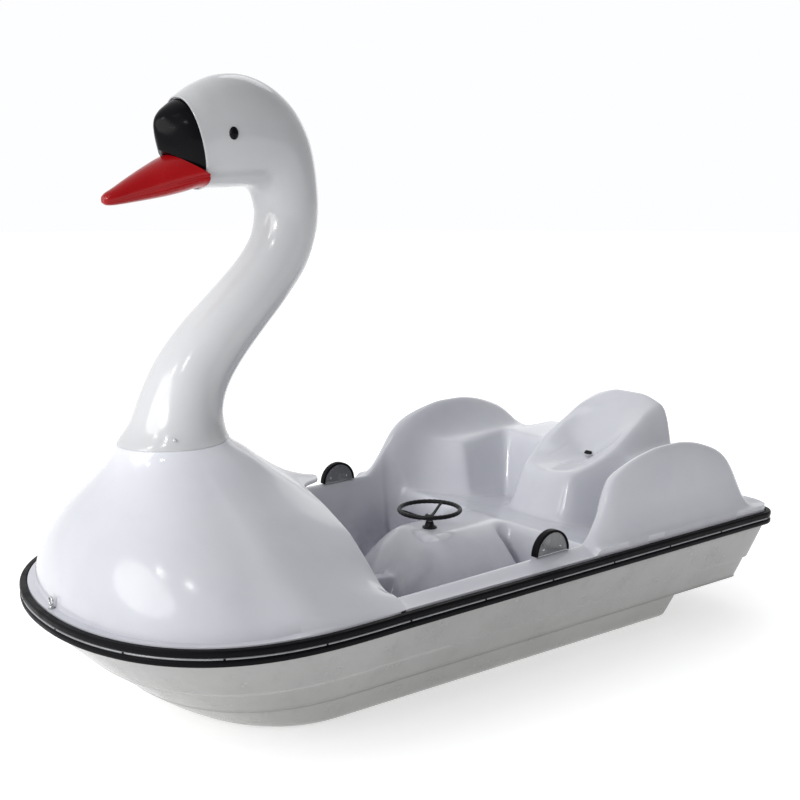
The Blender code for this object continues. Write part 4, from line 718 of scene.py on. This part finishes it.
# behind the bow the extra rows share the last step of the dome
for j in range(n_bow + 1):
    k = 1 - float(smooth(0.62, 1.05, edge[min(j, n_bow - 1), 0])) if j < n_bow else 1.0
    if k > 0:
        a_, b_ = cowl[NR - 1, j].copy(), edge[j]
        for i in range(4):
            spread = a_ + (b_ - a_) * (i + 1) / 4
            cowl[NR + i, j] += (spread - cowl[NR + i, j]) * k
for j in range(n_bow + 1, NC):
    a_, b_ = cowl[NR - 1, j].copy(), edge[j]
    for i in range(4):
        cowl[NR + i, j] = a_ + (b_ - a_) * (i + 1) / 4

# rails of the neck and head: rear or upper point, front or lower point, half width, squareness
STATIONS = [
    (0.774, 0.936, 1.147, 0.936, 0.176, 1.00), (0.777, 0.982, 1.098, 1.000, 0.158, 1.00),
    (0.786, 1.010, 1.060, 1.090, 0.146, 1.00), (0.772, 1.082, 0.996, 1.212, 0.130, 1.00),
    (0.716, 1.171, 0.896, 1.329, 0.120, 1.00), (0.6235, 1.275, 0.7825, 1.433, 0.112, 1.00),
    (0.5185, 1.387, 0.6815, 1.529, 0.108, 1.00), (0.427, 1.510, 0.621, 1.610, 0.109, 1.00),
    (0.380, 1.657, 0.601, 1.683, 0.112, 1.00), (0.384, 1.811, 0.610, 1.742, 0.118, 0.98),
    (0.415, 1.945, 0.628, 1.768, 0.124, 0.96), (0.478, 2.045, 0.652, 1.777, 0.131, 0.93),
    (0.566, 2.113, 0.688, 1.777, 0.137, 0.90), (0.664, 2.145, 0.728, 1.775, 0.138, 0.89),
    (0.760, 2.139, 0.768, 1.774, 0.133, 0.89), (0.842, 2.106, 0.805, 1.772, 0.125, 0.90),
    (0.902, 2.066, 0.833, 1.766, 0.119, 0.92)]
NK = 150
S = catmull(STATIONS, NK)
u = ang[None, :]
cu, su = np.cos(u), np.sin(u)
q = S[:, 5:6]
cq, sq = np.sign(cu) * np.abs(cu) ** q, np.abs(su) ** q
mx, mz = (S[:, 0:1] + S[:, 2:3]) / 2, (S[:, 1:2] + S[:, 3:4]) / 2
ax_, az_ = (S[:, 2:3] - S[:, 0:1]) / 2, (S[:, 3:4] - S[:, 1:2]) / 2
neck = np.stack([mx + ax_ * cq, S[:, 4:5] * sq, mz + az_ * cq], 2)

form = np.concatenate([cowl[::-1], neck[1:]], 0)
SEAM_ROW = NR + 3


def relax(P, rows, n, k=0.5):
    """Even out a half form; the mirror line stays on the middle plane."""
    for _ in range(n):
        Q = P.copy()
        L, Rr = P[:, :-2], P[:, 2:]
        Q[1:-1, 1:-1] = (P[:-2, 1:-1] + P[2:, 1:-1] + L[1:-1] + Rr[1:-1]) / 4
        m0, m1 = P[:, 1] * (1, -1, 1), P[:, -2] * (1, -1, 1)
        Q[1:-1, 0] = (P[:-2, 0] + P[2:, 0] + P[1:-1, 1] + m0[1:-1]) / 4
        Q[1:-1, -1] = (P[:-2, -1] + P[2:, -1] + P[1:-1, -2] + m1[1:-1]) / 4
        w = rows[:, :, None] * k
        P = P + (Q - P) * w
    return P


wgt = np.ones(len(form))
wgt[0] = 0
wgt[-1] = 0
zone = np.zeros(len(form))
zone[5:11] = np.linspace(0.1, 1, 6)
zone[11:SEAM_ROW + 30] = 1.0
zone[SEAM_ROW + 30:SEAM_ROW + 50] = np.linspace(1, 0, 20)
aft = smooth(1.45, 2.30, ang)
form = relax(form, zone[:, None] * (0.35 + 0.65 * aft)[None, :], 30, 0.6)
rr = np.abs(np.arange(len(form)) - SEAM_ROW)
near = 1 - smooth(6, 22, rr)
form = relax(form, near[:, None] * aft[None, :], 150, 0.6)


def whole(P):
    """Mirror a port half form to a closed ring of columns."""
    return np.concatenate([P, (P * (1, -1, 1))[:, 1:-1][:, ::-1]], 1)


# cowl skin, with its edge turned down at the rear arch
cow = form[:SEAM_ROW + 1].copy()
dirn = cow[0] - cow[1]
rim = cow[0, n_bow:]
lip = []
for a_, (dx, dz) in enumerate(((0.0042, -0.0012), (0.0070, -0.0045), (0.0080, -0.0090), (0.0072, -0.0150))):
    row = cow[0].copy()
    w = np.zeros(NC)
    w[n_bow:] = smooth(0.60, 0.52, cow[0, n_bow:, 1])
    row[:, 0] -= dx * w
    row[:, 2] += dz * w
    lip.append(row)
flange = cow[0].copy()
bm = grid_bm(whole(np.concatenate([np.array(lip)[::-1], cow], 0)), True)
q2, q3 = inset(RAIL, 0.0242), inset(RAIL, 0.0134)
fa = [(x, y, 0.4245) for x, y in q2 if x > COWL_X + 0.006 and y >= -1e-9]
f0 = [tuple(p) for p in form[0, :n_bow]]
n_f = min(len(fa), len(f0))
fb = [(x, y, 0.4245) for x, y in q3[:len(q2)] if x > COWL_X + 0.006 and y >= -1e-9]
n_f = min(n_f, len(fb))
for s in (1, -1):
    grid_bm([[(x, s * y, z) for x, y, z in row[:n_f]] for row in (f0, fa, fb)], bm=bm)
up(bm)
cowl_ob = finish_mesh("cowl_skin", bm, WHITE, None, 50)
so = cowl_ob.modifiers.new("thickness", "SOLIDIFY")
so.thickness, so.offset = 0.0045, -1.0
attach(cowl_ob, "hull")
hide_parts("front_cowl")

nk = form[SEAM_ROW:].copy()
# the skirt stands a little proud of the cowl and ends in a rounded lip
lift = np.exp(-np.arange(len(nk)) / 5.0)[:, None]
ctr = nk.mean(axis=1, keepdims=True) * (1, 0, 1)
nd = nk - ctr
nd[..., 2] = 0
nd /= np.maximum(np.linalg.norm(nd, axis=2, keepdims=True), 1e-9)
nk = nk + nd * (0.0020 * lift)[..., None] * 0.9
first = nk[0] - nd[0] * 0.0028 + np.array([0, 0, -0.0016])
nk = np.concatenate([first[None], nk], 0)
# face opening: rounded edge, then a recess
fp = np.array([FACE_X, 0, FACE_Z])
fn = np.array([1.0, 0, -FACE_LEAN]) / math.hypot(1, FACE_LEAN)
last = nk[-1]
c0 = last.mean(0) * (1, 0, 1)
extra = []
for s, k in ((0.0030, 0.9965), (0.0050, 0.985), (0.0050, 0.968), (0.0015, 0.958), (-0.006, 0.955)):
    extra.append(c0 + (last - c0) * k + fn * s)
nk = np.concatenate([nk, np.array(extra)], 0)
neck_ob = finish_mesh("neck_skin", grid_bm(whole(nk), True, (False, True)), NECK_SHADED_WHITE, "hull", 50)
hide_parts("neck_and_head")

# joint line between neck and cowl
seam_row = whole(form[SEAM_ROW:SEAM_ROW + 1])[0]
cs = seam_row.mean(0)
bm = bmesh.new()
tube(bm, cs + (seam_row - cs) * 0.9955 + (0, 0, 0.0005), 0.0013, 8, True)
joint = finish_mesh("neck_sealant", bm, plastic("sealant", (0.42, 0.42, 0.45), (0.30, 0.30, 0.32), 0.5), "hull", 60)


# ---------------------------------------------------------------- face
def clip_bm(bm, point, normal):
    geom = bm.verts[:] + bm.edges[:] + bm.faces[:]
    bmesh.ops.bisect_plane(bm, geom=geom, plane_co=point, plane_no=normal, clear_outer=True)
    e = [k for k in bm.edges if k.is_boundary]
    if e:
        bmesh.ops.edgeloop_fill(bm, edges=e)
    return bm


PART_P, PART_N = Vector((0.850, 0, 1.818)), Vector((-0.60, 0, 1.0)).normalized()
FP, FN = Vector((FACE_X, 0, FACE_Z)), Vector((1.0, 0, -FACE_LEAN)).normalized()
MASK = [(-0.020, 2.066, 1.765, 0.119), (0.0, 2.056, 1.765, 0.116), (0.025, 2.045, 1.768, 0.104),
        (0.047, 2.032, 1.772, 0.088), (0.070, 2.016, 1.785, 0.066), (0.090, 1.996, 1.815, 0.041),
        (0.102, 1.974, 1.850, 0.020), (0.107, 1.950, 1.890, 0.007)]
M = catmull(MASK, 60)
t = np.linspace(0, 2 * np.pi, 96, endpoint=False)
rows = []
for s, tp, bt, w in M:
    c, h = (tp + bt) / 2, (tp - bt) / 2
    z = c + h * np.cos(t)
    # a shallow crease runs down each cheek of the mask
    cr = 1 - 0.045 * np.exp(-((np.abs(np.sin(t)) - 0.72) / 0.10) ** 2) * (np.cos(t) > 0)
    rows.append(np.stack([FACE_X + FACE_LEAN * (z - FACE_Z) + s, w * 0.985 * np.sin(t) * cr, z], 1))
bm = grid_bm(np.array(rows), True, (True, True))
clip_bm(bm, FP + FN * 0.0006, -FN)
clip_bm(bm, PART_P + PART_N * 0.0012, -PART_N)
mask = finish_mesh("mask_skin", bm, BLACK, "hull", 40)
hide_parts("face_mask")

BEAK = [(0.780, 1.900, 1.770, 0.124), (0.850, 1.897, 1.7705, 0.113), (0.900, 1.892, 1.758, 0.099),
        (0.955, 1.874, 1.745, 0.081), (1.016, 1.842, 1.734, 0.061), (1.080, 1.804, 1.724, 0.044),
        (1.130, 1.772, 1.717, 0.032), (1.156, 1.757, 1.717, 0.023), (1.1675, 1.747, 1.723, 0.013)]
Bk = catmull(BEAK, 70)
rows = []
for x, tp, bt, w in Bk:
    md = bt + (tp - bt) * 0.42
    c, s = np.cos(t), np.sin(t)
    z = np.where(c > 0, md + (tp - md) * c, md + (md - bt) * c)
    y = w * np.sign(s) * np.abs(s) ** 0.88
    # line of the mouth
    groove = 1 - 0.05 * np.exp(-((z - (bt + (tp - bt) * 0.30)) / 0.0035) ** 2)
    rows.append(np.stack([np.full(len(t), x), y * groove, z], 1))
bm = grid_bm(np.array(rows), True, (True, True))
clip_bm(bm, FP + FN * 0.0006, -FN)
clip_bm(bm, PART_P - PART_N * 0.0002, PART_N)
beak = finish_mesh("beak_skin", bm, RED, "hull", 40)
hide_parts("beak")

for nm, s in (("port", 1), ("starboard", -1)):
    bm = bmesh.new()
    base = np.array([0.768, s * 0.1335, 1.946])
    nrm = np.array([0.10, s * 1.0, 0.05])
    nrm /= np.linalg.norm(nrm)
    uu = np.array([1, -s * 0.10, 0])
    uu /= np.linalg.norm(uu)
    ww = np.cross(nrm, uu)
    rows = []
    for k in np.linspace(0, math.pi / 2, 14):
        r = math.cos(k) if k < 1.55 else 0.02
        rows.append([base + nrm * (-0.004 + 0.013 * math.sin(k)) + uu * 0.0165 * r * math.cos(v) + ww * 0.0215 * r * math.sin(v)
                     for v in np.linspace(0, 2 * np.pi, 40, endpoint=False)])
    grid_bm(rows, True, (True, True), bm)
    eye = finish_mesh("eye_skin_" + nm, bm, BLACK, "hull", 60)
    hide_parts("eye_" + nm)

# ---------------------------------------------------------------- rub rail
prof = fillet([(0.0215, 0.3935), (0.0030, 0.3925), (0.0, 0.3985), (0.0, 0.4095), (0.0052, 0.4135), (0.0052, 0.4230),
               (0.0, 0.4265), (0.0, 0.4385), (0.0030, 0.4440), (0.0215, 0.4438)], 0.0032, 4)
rows = [np.column_stack([inset(RAIL, d), np.full(len(RAIL), z)]) for d, z in prof]
bm = grid_bm(rows, True)
rail = finish_mesh("rail_skin", bm, RUBBER, None, 50)
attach(rail, "hull")
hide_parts("rub_rail")
prof = fillet([(0.0056, 0.4142), (0.0022, 0.4158), (0.0016, 0.4183), (0.0022, 0.4208), (0.0056, 0.4224)], 0.0015, 4)
rows = [np.column_stack([inset(RAIL, d), np.full(len(RAIL), z)]) for d, z in prof]
ins = finish_mesh("rail_insert_skin", grid_bm(rows, True), SILVER, "hull", 60)
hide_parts("rail_insert")

# clips over the rail's joints
seg = np.linalg.norm(np.roll(RAIL, -1, 0) - RAIL, axis=1)
run = np.concatenate([[0], np.cumsum(seg)[:-1]])
total = seg.sum()
bm = bmesh.new()
ext = np.vstack([RAIL, RAIL[:1]])
runx = np.concatenate([run, [total]])
for k in range(26):
    s0 = (k + 0.35) / 26 * total
    sec = []
    for ds in (-0.0035, -0.0028, 0.0028, 0.0035):
        s1 = (s0 + ds) % total
        p = np.array([np.interp(s1, runx, ext[:, 0]), np.interp(s1, runx, ext[:, 1])])
        p2 = np.array([np.interp((s1 + 0.004) % total, runx, ext[:, 0]), np.interp((s1 + 0.004) % total, runx, ext[:, 1])])
        tt = (p2 - p) / np.linalg.norm(p2 - p)
        nn = np.array([-tt[1], tt[0]])
        o = 0.0006 if abs(ds) < 0.003 else 0.0
        sec.append([(*(p + nn * (0.0068 - o)), 0.4150), (*(p + nn * (0.0010 - o)), 0.4162), (*(p + nn * (0.0010 - o)), 0.4204),
                    (*(p + nn * (0.0068 - o)), 0.4216)])
    grid_bm(sec, True, (True, True), bm)
clips = finish_mesh("rail_joint_clips", bm, RUBBER, "hull", 30, 0)

# ---------------------------------------------------------------- bow eye bolt
bm = bmesh.new()
ex, ez = 1.4065, 0.4480
th = np.linspace(0, 2 * np.pi, 48, endpoint=False)
tube(bm, np.stack([np.full(48, ex), 0.0140 * np.sin(th), ez + 0.0225 - 0.0140 * np.cos(th)], 1), 0.0039, 16, True)
lathe(bm, (ex, 0, ez), (0, 0, 1), [(0.0003, 0.0090), (0.0004, 0.0100), (0.0018, 0.0103), (0.0026, 0.0095), (0.0032, 0.0064),
                                   (0.0050, 0.0048), (0.0070, 0.0044), (0.0085, 0.0030)], 32)
eye = finish_mesh("bow_eye_skin", bm, STEEL, "hull", 45)
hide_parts("bow_eye_bolt")

# ---------------------------------------------------------------- handwheel
bm = bmesh.new()
th = np.linspace(0, 2 * np.pi, 144, endpoint=False)
grip = RIM_R - 0.0006 + 0.0005 * np.cos(36 * th)
tube(bm, np.stack([COL_X + WHEEL_R * np.cos(th), WHEEL_R * np.sin(th), np.full(144, WHEEL_Z)], 1), grip, 20, True)
for deg in (205.0, 325.0, 85.0):
    a = math.radians(deg)
    d, s = np.array([math.cos(a), math.sin(a), 0]), np.array([-math.sin(a), math.cos(a), 0])
    P = catmull([(0.012, 0.459, 0.0085, 0.0036), (0.045, 0.465, 0.0068, 0.0032), (0.090, 0.482, 0.0060, 0.0030),
                 (0.121, 0.4905, 0.0075, 0.0034)], 24)
    rows = []
    for r, z, w, h in P:
        v = np.linspace(0, 2 * np.pi, 20, endpoint=False)
        rows.append(np.array([COL_X, 0, 0]) + d * r + np.outer(np.sign(np.cos(v)) * np.abs(np.cos(v)) ** 0.6 * w, s)
                    + np.outer(np.sign(np.sin(v)) * np.abs(np.sin(v)) ** 0.6 * h, (0, 0, 1)) + (0, 0, z))
    grid_bm(rows, True, (True, True), bm)
lathe(bm, (COL_X, 0, 0.446), (0, 0, 1), [(0, 0.0145), (0.0008, 0.0165), (0.004, 0.0188), (0.019, 0.0190), (0.0225, 0.0182),
                                         (0.0252, 0.0152), (0.0258, 0.0098), (0.0262, 0.0095), (0.0262, 0.0060)], 40)
wheel = finish_mesh("handwheel_skin", bm, PLASTIC, "steering", 40)
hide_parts("handwheel")
bm = bmesh.new()
lathe(bm, (COL_X, 0, 0.4640), (0, 0, 1), [(0, 0.0080), (0.0005, 0.0088), (0.0078, 0.0088), (0.0092, 0.0072), (0.0096, 0.0015)], 6)
nut = finish_mesh("handwheel_nut", bm, STEEL, "steering", 30)

# ---------------------------------------------------------------- discs on the sills
for nm, s in (("port", 1), ("starboard", -1)):
    v = np.linspace(0, np.pi, 72)
    bm = bmesh.new()
    rows = []
    for y, r in ((-0.0088, 0.0), (-0.0088, 0.0700), (-0.0098, 0.0735), (-0.0098, 0.0780), (0.0098, 0.0780),
                 (0.0098, 0.0735), (0.0088, 0.0700), (0.0088, 0.0)):
        rows.append(np.stack([DISC_X + r * np.cos(v), np.full(72, s * DISC_Y + y), DISC_Z + r * np.sin(v)], 1))
    grid_bm(np.array(rows), False, (False, False), bm)
    plate = finish_mesh("disc_skin_" + nm, bm, PLATE, "hull", 30)
    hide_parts("disc_" + nm)
    bm = bmesh.new()
    sec = fillet([(0.0763, -0.0100), (0.0765, -0.0155), (0.0855, -0.0145), (0.0858, 0.0145), (0.0765, 0.0155),
                  (0.0763, 0.0100)], 0.0045, 5)
    rows = [np.stack([DISC_X + r * np.cos(v), np.full(72, s * DISC_Y + y), DISC_Z + r * np.sin(v)], 1) for r, y in sec]
    grid_bm(np.array(rows), False, (False, False), bm)
    edging = finish_mesh("disc_edging_skin_" + nm, bm, RUBBER, "hull", 40)
    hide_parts("disc_%s_edging" % nm)
    bm = bmesh.new()
    for k in (-1, 1):
        for e in (-1, 1):
            lathe(bm, (DISC_X + k * 0.044, s * DISC_Y + e * 0.0086, DISC_Z + 0.020), (0, e, 0),
                  [(0, 0.0058), (0.0008, 0.0058), (0.0024, 0.0042), (0.0028, 0.0010)], 20)
    sc = finish_mesh("disc_screws_" + nm, bm, STEEL, "hull", 40, 0)

# ---------------------------------------------------------------- pedals and crankshaft
WEBS, END = (0.170, 0.285, 0.400), 0.492
pts = [(-END, 0), (-WEBS[2], 0), (-WEBS[2], -1), (-WEBS[1], -1), (-WEBS[1], 1), (-WEBS[0], 1), (-WEBS[0], 0),
       (WEBS[0], 0), (WEBS[0], -1), (WEBS[1], -1), (WEBS[1], 1), (WEBS[2], 1), (WEBS[2], 0), (END, 0)]
bm = bmesh.new()
tube(bm, fillet([(CRANK[0] + THROW * k, y, CRANK[2]) for y, k in pts], 0.016, 7), 0.0098, 20)
shaft = finish_mesh("crankshaft_skin", bm, STEEL, "crank", 45)
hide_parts("crankshaft")


def pedal(nm, body, y0, y1, k):
    cx, cz = CRANK[0] + THROW * k, CRANK[2]
    a, b = y0 + 0.0125, y1 - 0.0125
    bm = bmesh.new()
    soft_box(bm, (cx - 0.0455, a, cz - 0.0125), (cx + 0.0455, b, cz + 0.0125), 0.0060)
    for i in range(7):
        x = cx - 0.036 + 0.012 * i
        for e in (-1, 1):
            z0, z1 = sorted((cz + e * 0.0110, cz + e * 0.0148))
            soft_box(bm, (x - 0.0028, a + 0.006, z0), (x + 0.0028, b - 0.006, z1), 0.0016, 4)
    ob = finish_mesh(nm + "_skin", bm, TREAD, body, 40, 0)
    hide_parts(nm)


pedal("pedal_port_inner", "pedal_pi", WEBS[0], WEBS[1], -1)
pedal("pedal_port_outer", "pedal_po", WEBS[1], WEBS[2], 1)
pedal("pedal_starboard_inner", "pedal_si", -WEBS[1], -WEBS[0], 1)
pedal("pedal_starboard_outer", "pedal_so", -WEBS[2], -WEBS[1], -1)

# ---------------------------------------------------------------- propeller
sd = np.array([-1.0, 0.0, -SHAFT_SLOPE])
sd /= np.linalg.norm(sd)
PX = -1.095
pc = np.array([PX, 0, CRANK[2] + (PX - CRANK[0]) * SHAFT_SLOPE])
bm = bmesh.new()
lathe(bm, pc - sd * 0.026, sd, [(0, 0.0150), (0.001, 0.0172), (0.010, 0.0210), (0.026, 0.0213), (0.040, 0.0200), (0.050, 0.0168),
                                (0.052, 0.0150)], 40)
bx, by, _ = basis(sd)
for k in range(3):
    a = 2 * math.pi * k / 3 + 0.5
    o = bx * math.cos(a) + by * math.sin(a)
    s = np.cross(sd, o)
    P = catmull([(0.012, 0.018, 52, 0.0036), (0.035, 0.026, 42, 0.0031), (0.062, 0.030, 32, 0.0025), (0.082, 0.025, 26, 0.0018),
                 (0.0935, 0.008, 24, 0.0010)], 26)
    rows = []
    for r, ch, tw, tk in P:
        w = math.radians(tw)
        d, n_ = s * math.cos(w) + sd * math.sin(w), sd * math.cos(w) - s * math.sin(w)
        v = np.linspace(0, 2 * np.pi, 28, endpoint=False)
        cam = 0.10 * ch * (1 - np.cos(v) ** 2)
        rows.append(pc + o * r + np.outer(ch * np.cos(v), d) + np.outer(tk * np.sin(v) + cam * 0.5, n_))
    grid_bm(rows, True, (True, True), bm)
prop = finish_mesh("propeller_skin", bm, BRONZE, "drive", 45)
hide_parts("propeller")

# ---------------------------------------------------------------- small fittings
lo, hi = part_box("deck_latch")
bm = bmesh.new()
soft_box(bm, lo, hi, 0.0030)
soft_box(bm, (lo[0] + 0.002, lo[1] + 0.004, hi[2] - 0.001), (hi[0] - 0.002, hi[1] - 0.004, hi[2] + 0.006), 0.0022)
latch = finish_mesh("latch_skin", bm, PLASTIC, "hull", 40, 0)
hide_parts("deck_latch")

# anchor bolts of bearings and gearbox feet
bm = bmesh.new()
for s in (1, -1):
    for dx in (-0.034, 0.034):
        lathe(bm, (CRANK[0] + dx, s * 0.463, FLOOR_Z + 0.0138), (0, 0, 1), [(0, 0.0062), (0.001, 0.0062)], 20)
        lathe(bm, (CRANK[0] + dx, s * 0.463, FLOOR_Z + 0.0146), (0, 0, 1), [(0, 0.0045), (0.0030, 0.0045), (0.0038, 0.0036)], 6)
for x, z in ((0.352, 0.186), (0.352, 0.324), (0.488, 0.186), (0.488, 0.324)):
    lathe(bm, (x, -0.0458, z), (0, -1, 0), [(0, 0.0050), (0.0022, 0.0050), (0.0030, 0.0038)], 6)
bolts = finish_mesh("anchor_bolts", bm, STEEL, "hull", 30, 0)

# ---------------------------------------------------------------- stage, light and camera
bm = bmesh.new()
rows = [[(r * math.cos(a) + 0.2, r * math.sin(a), 0) for a in np.linspace(0, 2 * np.pi, 64, endpoint=False)]
        for r in (0.02, 3.0, 10.0, 60.0)]
grid_bm(rows, True, (True, False), bm)
FLOORM = bpy.data.materials.new("studio_floor")
nt, n, l, b = nodes_of(FLOORM)
b.inputs["Base Color"].default_value = (0.86, 0.86, 0.865, 1)
b.inputs["Roughness"].default_value = 0.7
b.inputs["Specular IOR Level"].default_value = 0.2
b.inputs["Emission Color"].default_value = (1.0, 1.0, 1.0, 1)
b.inputs["Emission Strength"].default_value = 0.50
floor = finish_mesh("studio_floor", bm, FLOORM, None, 30)
floor.location = (0, 0, -0.0008)

scene = bpy.context.scene
world = bpy.data.worlds.new("studio")
scene.world = world
world.use_nodes = True
wn, wl = world.node_tree.nodes, world.node_tree.links
bg = wn["Background"]
tc = wn.new("ShaderNodeTexCoord")
dot = wn.new("ShaderNodeVectorMath")
dot.operation = "DOT_PRODUCT"
dot.inputs[1].default_value = (0.35, -0.80, -0.32)
wl.new(tc.outputs["Generated"], dot.inputs[0])
grad = wn.new("ShaderNodeMapRange")
grad.interpolation_type = "SMOOTHSTEP"
for k, v in (("From Min", -0.85), ("From Max", 0.10), ("To Min", 0.25), ("To Max", 1.0)):
    grad.inputs[k].default_value = v
wl.new(dot.outputs["Value"], grad.inputs["Value"])
bg.inputs["Color"].default_value = (0.985, 0.99, 1.0, 1)
wl.new(grad.outputs["Result"], bg.inputs["Strength"])


def lamp(name, pos, target, size, power, colour=(1, 1, 1)):
    L = bpy.data.lights.new(name, "AREA")
    L.shape = "ELLIPSE"
    L.size, L.size_y = size
    L.energy = power
    L.color = colour
    ob = bpy.data.objects.new(name, L)
    scene.collection.objects.link(ob)
    ob.location = pos
    ob.rotation_euler = (Vector(target) - Vector(pos)).to_track_quat("-Z", "Y").to_euler()
    return ob


lamp("key", (6.3, 0.2, 3.2), (0.0, 0.0, 0.7), (5.0, 3.6), 150, (1.0, 0.99, 0.975))
spot = bpy.data.lights.new("seat_spot", "SPOT")
spot.energy, spot.spot_size, spot.spot_blend, spot.shadow_soft_size = 760, math.radians(12), 1.0, 0.3
spot_ob = bpy.data.objects.new("seat_spot", spot)
scene.collection.objects.link(spot_ob)
spot_ob.location = (5.5, 2.2, 3.0)
spot_ob.rotation_euler = (Vector((-0.78, -0.52, 0.58)) - Vector((5.5, 2.2, 3.0))).to_track_quat("-Z", "Y").to_euler()
lamp("window", (3.4, 2.2, 4.2), (0.8, 0.2, 0.7), (0.40, 0.40), 9)
lamp("skylight", (4.2, 0.6, 4.0), (0.9, 0.0, 0.6), (0.45, 0.35), 7)
lamp("top", (-1.2, -1.2, 4.4), (-0.6, 0.0, 0.5), (2.4, 1.6), 12, (0.96, 0.98, 1.0))
lamp("rim", (-4.2, -2.8, 2.4), (0.0, 0.0, 0.8), (2.2, 2.4), 7)

cam = bpy.data.cameras.new("camera")
cam_ob = bpy.data.objects.new("camera", cam)
scene.collection.objects.link(cam_ob)
cam.lens, cam.sensor_width = 49.5, 36.0
yaw, pitch = math.radians(38.64), math.radians(10.30)
fwd = Vector((-math.sin(yaw) * math.cos(pitch), -math.cos(yaw) * math.cos(pitch), -math.sin(pitch)))
right = Vector((-math.cos(yaw), math.sin(yaw), 0))
upv = right.cross(fwd)
cam_ob.matrix_world = Matrix.Translation((2.6245, 3.312, 1.733)) @ Matrix((
    (right.x, upv.x, -fwd.x), (right.y, upv.y, -fwd.y), (right.z, upv.z, -fwd.z))).to_4x4()
scene.camera = cam_ob
scene.view_settings.view_transform = "Standard"
scene.view_settings.look = "None"
